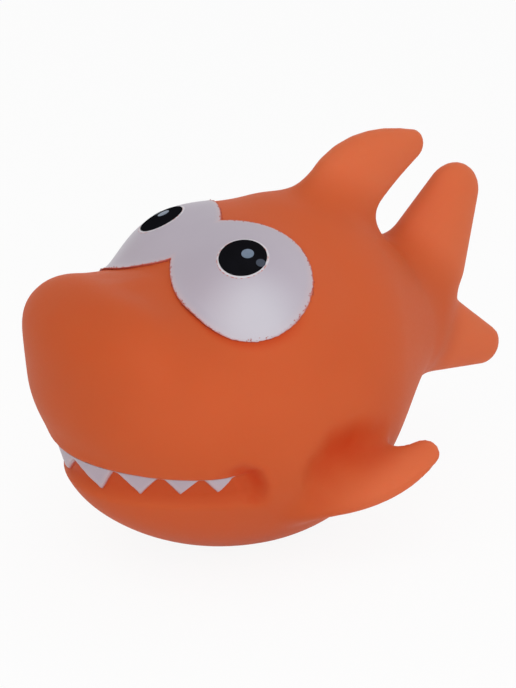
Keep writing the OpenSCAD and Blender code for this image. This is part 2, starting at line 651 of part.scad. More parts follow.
// The teeth: a band under the lip with four points each side of the middle
tooth_ends = [0, tooth_a1, tooth_a2, tooth_a3, tooth_a4];
tooth_steps = 4;
tooth_round = 0.1;
function tooth_height(i) = tooth_h1 + (tooth_h4 - tooth_h1) * i / 3;
function tooth_tip(i) =
    tooth_ends[i] + (tooth_ends[i + 1] - tooth_ends[i]) * (tooth_lean1 + (tooth_lean4 - tooth_lean1) * i / 3);
function tooth_point(u) = 1 - norm([1 - u, tooth_round]) + tooth_round * (1 - u);
function half_teeth() =
    concat([[0, 0]], [for (i = [0 : 3]) for (k = [1 : 2 * tooth_steps])
        let (u = 1 - abs(k - tooth_steps) / tooth_steps, foot = tooth_ends[k < tooth_steps ? i : i + 1])
        [foot + (tooth_tip(i) - foot) * u, tooth_height(i) * max(tooth_point(u), 0)]]);
function mouth_point(a, drop, off) =
    on_skin([arc_x, 0, lip_height(arc_x) - drop], [-cos(a), sin(a), -lip_slope * cos(a)], off);

module teeth() {
    half = half_teeth();
    n = len(half);
    line = concat([for (i = [n - 1 : -1 : 1]) [-half[i].x, half[i].y]], half);
    m = len(line);
    rows = 3;
    layer_points = function (off) [for (r = [0 : rows]) for (c = line)
        stand(mouth_point(c.x, tooth_drop + (tooth_band + c.y) * r / rows, off))];
    top = layer_points(over(0));
    low = layer_points(under(0));
    k = len(top);
    sheet = flat_list([for (r = [0 : rows - 1]) for (c = [0 : m - 2])
        let (a = r * m + c) [[a, a + 1, a + m + 1], [a, a + m + 1, a + m]]]);
    edge = concat([for (c = [0 : m - 2]) [c + 1, c]], [for (r = [0 : rows - 1]) [r * m, (r + 1) * m]],
                  [for (c = [0 : m - 2]) [rows * m + c, rows * m + c + 1]],
                  [for (r = [0 : rows - 1]) [(r + 2) * m - 1, (r + 1) * m - 1]]);
    color("white") polyhedron(points = concat(top, low),
        faces = concat([for (t = sheet) [t.z, t.y, t.x]], [for (t = sheet) t + [k, k, k]],
                       flat_list([for (e = edge) [[e.y, e.x, e.x + k], [e.y, e.x + k, e.y + k]]])),
        convexity = 6);
}

// The skin
flange_r = hole_d / 2 + flange_reach;
groove_z = flange_sink + flange_t + neck_gap;
big = 400;

module outer_form() {
    m = skin_mesh();
    polyhedron(points = m[0], faces = m[1], convexity = 8);
}

module hollow() {
    m = hollow_mesh(turn = 36, rise = 18);
    polyhedron(points = m[0], faces = m[1], convexity = 4);
}

module vinyl_skin() {
    color("coral") difference() {
        outer_form();
        hollow();
        translate([-big / 2, -big / 2, -big]) cube(big);
        translate([squeak_x, 0, -1]) cylinder(r = flange_r + neck_gap, h = groove_z + 1, $fn = 64);
        translate([squeak_x, 0, -1]) cylinder(d = hole_d, h = floor_wall + 2, $fn = 64);
        translate([squeak_x, 0, floor_wall])
            cylinder(r = flange_r + neck_gap, h = flange_t + 3 * neck_gap, $fn = 64);
    }
}

// The squeaker: the belly wall sits in the groove between the housing's two flanges
bore_z = flange_sink + stop_t;
foot_top = bore_z + foot_h;
catch_z = floor_wall + neck_gap;
window_w = channel_d - 0.4;

module squeaker_housing() {
    neck_r = hole_d / 2 - neck_gap;
    color("ivory") translate([squeak_x, 0, 0]) difference() {
        rotate_extrude($fn = 64) polygon([
            [0, flange_sink], [flange_r, flange_sink], [flange_r, flange_sink + flange_t],
            [neck_r, flange_sink + flange_t], [neck_r, catch_z], [flange_r, catch_z],
            [neck_r, catch_z + flange_t], [tube_d / 2, catch_z + flange_t], [tube_d / 2, tube_top],
            [0, tube_top]]);
        translate([0, 0, bore_z]) cylinder(d = bore_d, h = tube_top, $fn = 48);
        translate([0, 0, -1]) cylinder(d = bore_d - 2 * stop_w, h = tube_top, $fn = 48);
    }
}

module reed_block() {
    block_r = bore_d / 2 - block_gap;
    channel_x = channel_d / 2 + channel_wall - block_r;
    color("gainsboro") translate([squeak_x, 0, 0]) difference() {
        union() {
            translate([0, 0, bore_z]) cylinder(r = block_r, h = foot_h, $fn = 48);
            intersection() {
                translate([0, 0, bore_z]) cylinder(r = block_r, h = foot_h + block_h, $fn = 48);
                translate([face_x - big, -big / 2, 0]) cube([big, big, big]);
            }
        }
        translate([channel_x, 0, bore_z - 1])
            cylinder(d = channel_d, h = foot_h + block_h - window_end + 1, $fn = 32);
        translate([channel_x, -window_w / 2, foot_top + window_end])
            cube([bore_d, window_w, block_h - 2 * window_end]);
    }
}

module reed_tongue() {
    color("dimgray") translate([squeak_x + face_x + reed_gap, 0, foot_top + root_gap])
        rotate([0, reed_open, 0]) translate([0, -reed_w / 2, 0]) cube([reed_t, reed_w, reed_l]);
}

vinyl_skin();
eye_white();
left_pupil();
right_pupil();
left_glints();
right_glints();
teeth();
squeaker_housing();
reed_block();
reed_tongue();
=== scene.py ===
"""Looks for a squeaky dog toy shaped like a shark: its skin, sprayed eyes and teeth, and its squeaker."""

import logging
import math
from dataclasses import dataclass, fields
from enum import Enum
from functools import cached_property
from typing import Callable

import bmesh
import bpy
import numpy as np
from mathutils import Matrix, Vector


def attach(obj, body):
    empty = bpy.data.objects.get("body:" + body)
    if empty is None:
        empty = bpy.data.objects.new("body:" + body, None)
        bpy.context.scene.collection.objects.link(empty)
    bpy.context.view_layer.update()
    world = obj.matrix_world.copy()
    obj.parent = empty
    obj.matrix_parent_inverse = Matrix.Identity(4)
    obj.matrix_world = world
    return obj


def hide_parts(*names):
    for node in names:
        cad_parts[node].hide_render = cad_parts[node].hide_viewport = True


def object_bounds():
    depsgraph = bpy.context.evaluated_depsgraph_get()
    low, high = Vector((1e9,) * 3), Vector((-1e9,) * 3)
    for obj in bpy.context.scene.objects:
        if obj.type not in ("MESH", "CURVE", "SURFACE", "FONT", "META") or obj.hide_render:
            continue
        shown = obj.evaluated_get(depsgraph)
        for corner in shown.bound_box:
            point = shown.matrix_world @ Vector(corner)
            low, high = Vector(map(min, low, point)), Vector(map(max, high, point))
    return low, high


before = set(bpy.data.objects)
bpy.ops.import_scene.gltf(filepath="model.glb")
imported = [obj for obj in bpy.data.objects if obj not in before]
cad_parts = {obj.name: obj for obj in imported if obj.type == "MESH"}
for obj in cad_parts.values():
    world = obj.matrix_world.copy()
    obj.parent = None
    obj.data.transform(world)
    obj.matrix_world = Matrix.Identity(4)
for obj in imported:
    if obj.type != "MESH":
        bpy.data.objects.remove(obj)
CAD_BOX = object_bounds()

MM = 0.001
TO_MM = 1000.0
BODY = "toy"
log = logging.getLogger("toy")
Field = Callable[[np.ndarray], np.ndarray]
ACROSS = (0.0, 1.0, 0.0)
ALONG = (1.0, 0.0, 0.0)

# A unit axis with more than this much of ACROSS in it lies across the toy
MOSTLY_ACROSS = 0.9
# Points nearer than this are one point
MERGE_MM = 1e-4
MERGE_M = 1e-8
# Edges that turn by more than this stay sharp
SKIN_SHARP_DEG = 40.0
COAT_SHARP_DEG = 60.0
# Searches for the skin: share of the distance that a move takes, moves, starts and rows of heights
SEAT_SHARE = 0.8
CAST_SHARE = 0.75
MOVES = 40
AHEAD, ASTERN, BELOW = -120.0, 150.0, -60.0
ROWS_UP = np.arange(0.0, 115.1, 2.5)
# Rounds that settle a net onto the surface, and the least squared slope that a round divides by
SETTLE_ROUNDS = 4
LEAST_SLOPE = 0.2


class Side(Enum):
    """Which half of the toy a piece is on; the value is the sign of Y."""

    LEFT = -1
    RIGHT = 1


def ease(lo: float, hi: float, x: np.ndarray) -> np.ndarray:
    """Rises smoothly from 0 at lo to 1 at hi."""
    t = np.clip((x - lo) / (hi - lo), 0.0, 1.0)
    return t * t * (3.0 - 2.0 * t)


def melt(a: np.ndarray, b: np.ndarray, reach: float) -> np.ndarray:
    """Union of two distances, with a fillet of about that reach."""
    h = np.maximum(reach - np.abs(a - b), 0.0) / reach
    return np.minimum(a, b) - h * h * reach / 4.0


def unit(v: np.ndarray) -> np.ndarray:
    """Vectors scaled to length 1."""
    v = np.asarray(v, float)
    return v / np.maximum(np.linalg.norm(v, axis=-1, keepdims=True), 1e-12)


def mirrored(p: np.ndarray) -> np.ndarray:
    """Points brought over to the side where y is positive."""
    return np.concatenate([p[..., :1], np.abs(p[..., 1:2]), p[..., 2:]], -1)


def turns(spokes: int) -> np.ndarray:
    """Angles of evenly spaced spokes, in radians."""
    return 2.0 * math.pi * np.arange(spokes) / spokes


def fan(axis: np.ndarray, spokes: int) -> np.ndarray:
    """Sideways directions spread evenly round an axis.

    Args:
        axis: unit direction that they stand square to.
        spokes: number of directions.

    Returns:
        One unit direction for each spoke.
    """
    e1 = unit(np.cross(ACROSS if abs(axis[1]) < MOSTLY_ACROSS else ALONG, axis))
    e2 = np.cross(axis, e1)
    turn = turns(spokes)
    return np.cos(turn)[:, None] * e1 + np.sin(turn)[:, None] * e2


def tilt(axis: np.ndarray, side: np.ndarray, angle: np.ndarray) -> np.ndarray:
    """Directions that lean from an axis towards a side by an angle."""
    return np.cos(angle)[..., None] * axis + np.sin(angle)[..., None] * side


# The moulded form, in millimetres


@dataclass(frozen=True)
class Egg:
    """An egg-shaped mass on the middle plane, by its centre and half sizes."""

    x: float
    z: float
    length: float
    width: float
    height: float

    def distance(self, p: np.ndarray) -> np.ndarray:
        """Near distance from points to the mass, below zero inside.

        Args:
            p: points in the toy's level axes.

        Returns:
            One distance for each point.
        """
        size = np.array([self.length, self.width, self.height])
        u = (p - np.array([self.x, 0.0, self.z])) / size
        a = np.linalg.norm(u, axis=-1)
        b = np.maximum(np.linalg.norm(u / size, axis=-1), 1e-9)
        return a * (a - 1.0) / b


@dataclass(frozen=True)
class Limb:
    """A round cone between two balls, flattened across one direction."""

    start: tuple[float, float, float]
    end: tuple[float, float, float]
    r_start: float
    r_end: float
    flat: float = 1.0
    across: tuple[float, float, float] = ACROSS

    def distance(self, p: np.ndarray) -> np.ndarray:
        """Near distance from points to the limb, below zero inside.

        Args:
            p: points in the toy's level axes.

        Returns:
            One distance for each point.
        """
        n = np.array(self.across)
        run = np.array(self.end) - np.array(self.start)
        length = float(np.linalg.norm(run))
        q = p - np.array(self.start)
        q = q + ((self.flat - 1.0) * (q @ n))[..., None] * n
        t = q @ run / length
        d = np.sqrt(np.maximum((q * q).sum(-1) - t * t, 0.0))
        s = (self.r_end - self.r_start) / length
        w = np.clip((t + d * s / math.sqrt(1.0 - s * s)) / length, 0.0, 1.0)
        v = q - w[..., None] * run
        m = np.maximum(np.linalg.norm(v, axis=-1), 1e-6)
        lean = (v @ n) / m
        stretch = np.sqrt(1.0 + (self.flat**2 - 1.0) * lean * lean)
        return (m - self.r_start - (self.r_end - self.r_start) * w) / stretch


@dataclass(frozen=True)
class Sweep:
    """A fin that curves through three balls, flattened across one direction."""

    start: tuple[float, float, float]
    middle: tuple[float, float, float]
    end: tuple[float, float, float]
    radii: tuple[float, float, float]
    flat: float = 1.0
    across: tuple[float, float, float] = ACROSS
    steps: int = 10

    @cached_property
    def limbs(self) -> list[Limb]:
        """Short limbs along the curve.

        Returns:
            The limbs, each between two neighbouring balls of the curve.
        """
        a, b, c = (np.array([*p, r]) for p, r in zip((self.start, self.middle, self.end), self.radii))
        pull = 2.0 * b - (a + c) / 2.0
        t = np.linspace(0.0, 1.0, self.steps + 1)[:, None]
        ball = (1.0 - t) ** 2 * a + 2.0 * t * (1.0 - t) * pull + t * t * c
        pairs = zip(ball, ball[1:])
        return [Limb(tuple(u[:3]), tuple(v[:3]), u[3], v[3], self.flat, self.across) for u, v in pairs]

    def distance(self, p: np.ndarray) -> np.ndarray:
        """Near distance from points to the fin, below zero inside."""
        return np.min([limb.distance(p) for limb in self.limbs], axis=0)


@dataclass(frozen=True)
class Fold:
    """A soft dent along a line on the skin, where painted shade makes the vinyl redder than the open skin,
    as light trapped in it would.

    Each point of the line holds its place in the level axes and its share of the fold's full depth. A sink
    below zero makes a swell.
    """

    line: tuple[tuple[float, float, float, float], ...]
    reach: float
    sink: float
    # Share of painted shade: how far the vinyl's colour is mixed toward its deep shade red along the line
    red: float

    def near(self, p: np.ndarray) -> np.ndarray:
        """From 0 out of the fold's reach to 1 on its line.

        Args:
            p: points in the level axes, on the side where y is positive.

        Returns:
            One share for each point.
        """
        ends = np.array(self.line)[:, :3]
        close = np.all((p > ends.min(axis=0) - self.reach) & (p < ends.max(axis=0) + self.reach), axis=-1)
        q = p[close]
        most = np.zeros(len(q))
        for a, b in zip(self.line, self.line[1:]):
            start, run = np.array(a[:3]), np.array(b[:3]) - np.array(a[:3])
            t = np.clip((q - start) @ run / (run @ run), 0.0, 1.0)
            away = np.linalg.norm(q - start - t[..., None] * run, axis=-1)
            most = np.maximum(most, (a[3] + (b[3] - a[3]) * t) * (1.0 - ease(0.0, self.reach, away)))
        share = np.zeros(p.shape[:-1])
        share[close] = most
        return share


@dataclass(frozen=True)
class Mouth:
    """The step under the upper lip."""

    front: tuple[float, float] = (-55.5, 27.0)
    rise_deg: float = 13.5
    step: float = 1.8
    roll: float = 1.4
    band: float = 6.0
    chin_run: float = 4.5
    corner: tuple[float, float] = (-26.5, 29.5)
    corner_lean: float = 0.8
    corner_run: float = 5.0

    @property
    def slope(self) -> float:
        """Rise of the lip line for each millimetre toward its corner."""
        return math.tan(math.radians(self.rise_deg))

    def lip_height(self, x: np.ndarray) -> np.ndarray:
        """Height of the lip line at x."""
        return self.front[1] + self.slope * (x - self.front[0])

    def depth(self, p: np.ndarray) -> np.ndarray:
        """How far the mouth sinks into the skin.

        Args:
            p: points in the level axes, on the side where y is positive.

        Returns:
            One depth for each point.
        """
        below = self.lip_height(p[..., 0]) - p[..., 2]
        chin = ease(self.band, self.band + self.chin_run, below)
        sunk = self.step * ease(0.0, self.roll, below) * (1.0 - chin)
        half = self.corner_run / 2.0
        past = p[..., 0] - self.corner[0] + self.corner_lean * (p[..., 2] - self.corner[1])
        return sunk * (1.0 - ease(-half, half, past))


@dataclass(frozen=True)
class ToyForm:
    """The whole moulded shape as one smooth distance, drawn level, then pitched nose up on its flat."""

    snout: Egg = Egg(-51.5, 56.0, 14.0, 24.5, 11.5)
    muzzle: Egg = Egg(-34.0, 41.0, 23.5, 29.0, 12.0)
    cheeks: Egg = Egg(-14.5, 39.0, 32.5, 32.5, 23.0)
    jaw: Egg = Egg(-22.5, 24.5, 29.5, 21.0, 17.0)
    belly: Egg = Egg(-8.0, 33.0, 39.0, 30.0, 29.5)
    torso: Limb = Limb((1.0, 0.0, 57.5), (37.5, 0.0, 56.5), 32.0, 14.5, 1.1)
    dome: tuple[float, float, float] = (-16.0, 9.0, 60.5)
    dome_r: float = 23.5
    dorsal: Sweep = Sweep((13.0, 0.0, 82.0), (16.0, 0.0, 93.0), (33.0, 0.0, 102.0), (9.5, 10.5, 4.0), 1.7)
    tail: tuple[Limb, Limb] = (
        Limb((44.5, 0.0, 70.5), (50.5, 0.0, 89.5), 13.5, 8.0, 1.7),
        Limb((44.5, 0.0, 54.5), (72.0, 0.0, 48.5), 13.0, 5.25, 1.7),
    )
    side_root: tuple[float, float, float] = (-3.5, 27.0, 28.5)
    side_bend: tuple[float, float, float] = (7.5, 37.0, 29.5)
    side_tip: tuple[float, float, float] = (16.0, 42.5, 37.5)
    side_radii: tuple[float, float, float] = (12.0, 7.5, 3.75)
    side_lean_deg: float = 65.0
    side_flat: float = 1.8
    mouth: Mouth = Mouth()
    # Folds whose red share is above zero also carry painted shade: the vinyl is painted redder along them
    mouth_corner: Fold = Fold(
        line=(
            (-36.0, 34.0, 32.0, 0.2),
            (-33.0, 34.6, 32.8, 0.8),
            (-29.5, 34.2, 32.2, 1.0),
            (-27.0, 33.6, 29.5, 0.9),
            (-25.5, 32.6, 26.5, 0.5),
            (-25.0, 31.8, 23.0, 0.0),
        ),
        reach=4.2,
        sink=2.1,
        red=1.0,
    )
    fin_pocket: Fold = Fold(
        line=(
            (-9.5, 36.5, 29.5, 0.0),
            (-9.5, 37.6, 34.5, 0.6),
            (-7.0, 37.9, 38.0, 0.9),
            (-2.0, 37.6, 39.0, 1.0),
            (4.5, 36.5, 38.5, 0.55),
            (10.0, 36.0, 38.0, 0.0),
        ),
        reach=9.0,
        sink=2.4,
        red=0.9,
    )
    fin_front: Fold = Fold(
        line=(
            (-13.0, 38.0, 38.0, 0.0),
            (-12.5, 37.5, 34.0, 0.8),
            (-11.5, 36.8, 30.0, 1.0),
            (-9.0, 35.8, 25.5, 0.8),
            (-5.0, 34.0, 20.0, 0.0),
        ),
        reach=5.0,
        sink=1.2,
        red=0.15,
    )
    nose_valley: Fold = Fold(
        line=(
            (-53.5, 0.0, 68.0, 0.6),
            (-49.0, 6.0, 69.0, 1.0),
            (-45.0, 11.0, 68.5, 0.7),
            (-40.0, 13.0, 68.5, 0.0),
        ),
        reach=10.0,
        sink=0.8,
        red=0.0,
    )
    nose_swell: Fold = Fold(
        line=(
            (-57.0, 0.0, 66.5, 1.0),
            (-56.0, 10.0, 66.0, 1.0),
            (-55.5, 16.0, 64.0, 0.8),
            (-52.0, 22.0, 60.0, 0.0),
        ),
        reach=9.0,
        sink=-0.7,
        red=0.0,
    )
    snout_crest: Fold = Fold(
        line=(
            (-60.5, 8.5, 64.0, 0.2),
            (-59.7, 16.3, 61.8, 1.0),
            (-56.0, 23.8, 58.3, 1.0),
            (-48.0, 28.3, 54.0, 0.0),
        ),
        reach=12.0,
        sink=-0.4,
        red=0.0,
    )
    blend_domes: float = 6.0
    blend_belly: float = 22.0
    blend_torso: float = 24.0
    blend_snout: float = 19.0
    blend_face: float = 20.0
    blend_brow: float = 4.0
    blend_jaw: float = 8.0
    blend_lobes: float = 5.0
    blend_fin: float = 7.0
    blend_side: float = 5.0
    nose_up_deg: float = 12.5
    seat_x: float = 2.0
    flat_cut: float = 3.0

    @property
    def folds(self) -> tuple[Fold, ...]:
        """Every dent and swell of the skin.

        Returns:
            The dents, then the swells.
        """
        dents = (self.mouth_corner, self.fin_pocket, self.fin_front, self.nose_valley)
        swells = (self.nose_swell, self.snout_crest)
        return dents + swells

    @cached_property
    def side_fin(self) -> Sweep:
        """A side fin, flattened square to its chord.

        Returns:
            The fin on the side where y is positive, in level axes.
        """
        lean = math.radians(self.side_lean_deg)
        root, tip = np.array(self.side_root), np.array(self.side_tip)
        n = unit(np.cross(tip - root, [0.0, -math.sin(lean), math.cos(lean)]))
        bend = np.array(self.side_bend)
        bend = bend - ((bend - root) @ n) * n
        return Sweep(self.side_root, tuple(bend), self.side_tip, self.side_radii, self.side_flat, tuple(n))

    def body(self, p: np.ndarray) -> np.ndarray:
        """Distance to the head and body without fins.

        Args:
            p: points in the level axes, with y of either sign.

        Returns:
            One distance for each point, below zero inside.
        """
        p = mirrored(p)
        x, y, z = self.dome
        near, far = (np.linalg.norm(p - np.array([x, side * y, z]), axis=-1) for side in (1, -1))
        domes = melt(near, far, self.blend_domes) - self.dome_r
        trunk = melt(self.cheeks.distance(p), self.belly.distance(p), self.blend_belly)
        trunk = melt(trunk, self.torso.distance(p), self.blend_torso)
        nose = melt(self.snout.distance(p), self.muzzle.distance(p), self.blend_snout)
        head = melt(melt(trunk, nose, self.blend_face), domes, self.blend_brow)
        dents = sum(fold.sink * fold.near(p) for fold in self.folds)
        return melt(head, self.jaw.distance(p), self.blend_jaw) + self.mouth.depth(p) + dents

    def distance(self, p: np.ndarray) -> np.ndarray:
        """Distance to the whole skin, fins included.

        Args:
            p: points in the level axes, with y of either sign.

        Returns:
            One distance for each point, below zero inside.
        """
        q = mirrored(p)
        tail = melt(self.tail[0].distance(q), self.tail[1].distance(q), self.blend_lobes)
        finned = melt(melt(self.body(q), self.dorsal.distance(q), self.blend_fin), tail, self.blend_fin)
        return melt(finned, self.side_fin.distance(q), self.blend_side)

    def pitch(self, p: np.ndarray, way: int = 1) -> np.ndarray:
        """Turns points about the toy's cross axis.

        Args:
            p: the points.
            way: 1 turns level points nose up, and -1 turns them back.

        Returns:
            The turned points.
        """
        a = math.radians(self.nose_up_deg) * way
        c, s = math.cos(a), math.sin(a)
        return np.stack([p[..., 0] * c + p[..., 2] * s, p[..., 1], p[..., 2] * c - p[..., 0] * s], -1)

    @cached_property
    def seat(self) -> np.ndarray:
        """The pitched point that becomes the origin: middle of the length, on the belly flat.

        Returns:
            The point in millimetres.
        """
        z = BELOW
        for _ in range(MOVES):
            under = np.array([self.squeaker_pitched_x, 0.0, z])
            z += SEAT_SHARE * float(self.body(self.pitch(under, -1)))
        nose, tail = np.full(len(ROWS_UP), AHEAD), np.full(len(ROWS_UP), ASTERN)
        for _ in range(MOVES):
            nose = nose + SEAT_SHARE * self.distance(self.pitch(np.stack([nose, 0 * nose, ROWS_UP], -1), -1))
            tail = tail - SEAT_SHARE * self.distance(self.pitch(np.stack([tail, 0 * tail, ROWS_UP], -1), -1))
        return np.array([(nose.min() + tail.max()) / 2.0, 0.0, z + self.flat_cut])

    @property
    def squeaker_pitched_x(self) -> float:
        """Place of the squeaker's axis along the pitched length."""
        return float(self.pitch(np.array([self.seat_x, 0.0, self.belly.z - self.belly.height]))[0])

    @property
    def squeaker_x(self) -> float:
        """Place of the squeaker's axis in the standing frame."""
        return self.squeaker_pitched_x - float(self.seat[0])

    def stand(self, p: np.ndarray) -> np.ndarray:
        """Level points to the standing frame."""
        return self.pitch(np.asarray(p, float)) - self.seat

    def level(self, p: np.ndarray) -> np.ndarray:
        """Standing points back to the level axes."""
        return self.pitch(np.asarray(p, float) + self.seat, -1)

    def standing(self, p: np.ndarray) -> np.ndarray:
        """Distance to the whole skin from points in the standing frame."""
        return self.distance(self.level(p))

    def cast(
        self, origin: np.ndarray, way: np.ndarray, lift: np.ndarray | float, moves: int = MOVES
    ) -> np.ndarray:
        """Follows rays from inside the toy out to a height above its skin.

        Args:
            origin: start of each ray, level axes.
            way: direction of each ray.
            lift: height above the skin at which the ray stops.
            moves: number of moves along the ray.

        Returns:
            The points where the rays stop.
        """
        way = unit(way)
        r = np.full(way.shape[:-1], self.dome_r)
        for _ in range(moves):
            r = r + CAST_SHARE * (lift - self.distance(origin + r[..., None] * way))
        return origin + r[..., None] * way


def slope_of(dist: Field, p: np.ndarray, h: float = 0.05) -> np.ndarray:
    """Gradient of a distance at points, by central differences."""
    return np.stack([dist(p + v) - dist(p - v) for v in np.eye(3) * h], -1) / (2.0 * h)


def surface_net(dist: Field, lo: tuple, hi: tuple, cell: float) -> tuple[np.ndarray, np.ndarray]:
    """A closed mesh of four-sided faces over the zero surface of a distance.

    Args:
        dist: the distance, below zero inside.
        lo: lowest corner of the space that holds the surface.
        hi: highest corner of it.
        cell: pitch of the grid.

    Returns:
        Points on the surface and faces that wind outwards.
    """
    axes = [np.linspace(a, b, int(math.ceil((b - a) / cell)) + 1) for a, b in zip(lo, hi)]
    sheets = (np.meshgrid([x], axes[1], axes[2], indexing="ij") for x in axes[0])
    val = np.stack([dist(np.stack(sheet, -1))[0] for sheet in sheets])
    nx, ny, nz = (n - 1 for n in val.shape)
    corner = [(i, j, k) for i in (0, 1) for j in (0, 1) for k in (0, 1)]
    part = {c: val[c[0] : c[0] + nx, c[1] : c[1] + ny, c[2] : c[2] + nz] for c in corner}
    count = sum((part[c] < 0).astype(int) for c in corner)
    mixed = (count > 0) & (count < 8)
    where = np.argwhere(mixed)
    ids = np.full(mixed.shape, -1)
    ids[mixed] = np.arange(len(where))
    total, hits = np.zeros((len(where), 3)), np.zeros(len(where))
    base = np.stack([axes[d][where[:, d]] for d in range(3)], -1)
    size = np.stack([axes[d][where[:, d] + 1] for d in range(3)], -1) - base
    for a in corner:
        for d in range(3):
            if a[d]:
                continue
            b = tuple(1 if e == d else a[e] for e in range(3))
            va, vb = part[a][mixed], part[b][mixed]
            cross = (va < 0) != (vb < 0)
            t = np.where(cross, va / np.where(cross, va - vb, 1.0), 0.0)
            at = np.array(a, float) + t[:, None] * np.eye(3)[d]
            total += np.where(cross[:, None], at, 0.0)
            hits += cross
    points = base + size * total / hits[:, None]
    for _ in range(SETTLE_ROUNDS):
        g = slope_of(dist, points)
        points = points - (dist(points) / np.maximum((g * g).sum(-1), LEAST_SLOPE))[:, None] * g
    faces = []
    inside = val < 0
    for d in range(3):
        u, w = (d + 1) % 3, (d + 2) % 3
        take = [slice(None)] * 3
        take[d] = slice(0, -1)
        step = [slice(None)] * 3
        step[d] = slice(1, None)
        edges = np.argwhere(inside[tuple(take)] != inside[tuple(step)])
        out = inside[tuple(edges.T)]
        eu, ew = np.eye(3, dtype=int)[u], np.eye(3, dtype=int)[w]
        ring = np.stack([ids[tuple(c.T)] for c in (edges - eu - ew, edges - ew, edges, edges - eu)], -1)
        faces.append(np.where(out[:, None], ring, ring[:, ::-1]))
    return points, np.concatenate(faces)


# Meshes


def add_object(name: str, data: bpy.types.ID) -> bpy.types.Object:
    """Puts a mesh, lamp or camera into the scene.

    Args:
        name: name of the new object.
        data: the mesh, lamp or camera.

    Returns:
        The new object, at the origin.
    """
    obj = bpy.data.objects.new(name, data)
    bpy.context.scene.collection.objects.link(obj)
    return obj


def smooth(mesh: bpy.types.Mesh, sharp_deg: float) -> None:
    """Shades a mesh smooth, except at edges that turn by more than an angle."""
    mesh.shade_smooth()
    mesh.set_sharp_from_angle(angle=math.radians(sharp_deg))


def new_piece(
    name: str, points_mm: np.ndarray, faces: list | np.ndarray, sharp_deg: float = SKIN_SHARP_DEG
) -> bpy.types.Object:
    """Makes a mesh object at the origin from points in the standing frame.

    Args:
        name: name of the piece.
        points_mm: points in millimetres.
        faces: lists of point numbers.
        sharp_deg: edges that turn by more than this stay sharp.

    Returns:
        The new object.
    """
    mesh = bpy.data.meshes.new(name)
    mesh.from_pydata((np.asarray(points_mm) * MM).tolist(), [], [list(map(int, f)) for f in faces])
    mesh.validate()
    smooth(mesh, sharp_deg)
    return add_object(name, mesh)


def face_outwards(obj: bpy.types.Object, merge_m: float = 0.0) -> None:
    """Turns the faces of a closed piece outwards.

    Args:
        obj: the piece.
        merge_m: points nearer than this are first made one; 0 leaves them.
    """
    bm = bmesh.new()
    bm.from_mesh(obj.data)
    if merge_m > 0.0:
        bmesh.ops.remove_doubles(bm, verts=bm.verts, dist=merge_m)
    bmesh.ops.recalc_face_normals(bm, faces=bm.faces)
    bm.to_mesh(obj.data)
    bm.free()


def join(name: str, objs: list[bpy.types.Object]) -> bpy.types.Object:
    """Puts several meshes into one object.

    Args:
        name: name of the new piece.
        objs: the pieces, which are removed.

    Returns:
        The new object.
    """
    bm = bmesh.new()
    for o in objs:
        bm.from_mesh(o.data)
        bpy.data.objects.remove(o)
    mesh = bpy.data.meshes.new(name)
    bm.to_mesh(mesh)
    bm.free()
    smooth(mesh, COAT_SHARP_DEG)
    return add_object(name, mesh)


def paint_values(obj: bpy.types.Object, name: str, values: np.ndarray) -> None:
    """Stores one number for each point of a mesh under a name that a material reads."""
    layer = obj.data.attributes.new(name, "FLOAT", "POINT")
    layer.data.foreach_set("value", np.asarray(values, np.float32))


def dress(obj: bpy.types.Object, material: bpy.types.Material, slot: str, *nodes: str) -> bpy.types.Object:
    """Gives a new piece its material and its body, and hides the CAD nodes that it stands for.

    Args:
        obj: the piece.
        material: its finish.
        slot: the record's slot that it belongs to; not used.
        nodes: CAD nodes that it replaces, if any.

    Returns:
        The same piece.
    """
    obj.data.materials.clear()
    obj.data.materials.append(material)
    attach(obj, BODY)
    if nodes:
        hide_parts(*nodes)
    log.info("%s: %d faces", obj.name, len(obj.data.polygons))
    return obj


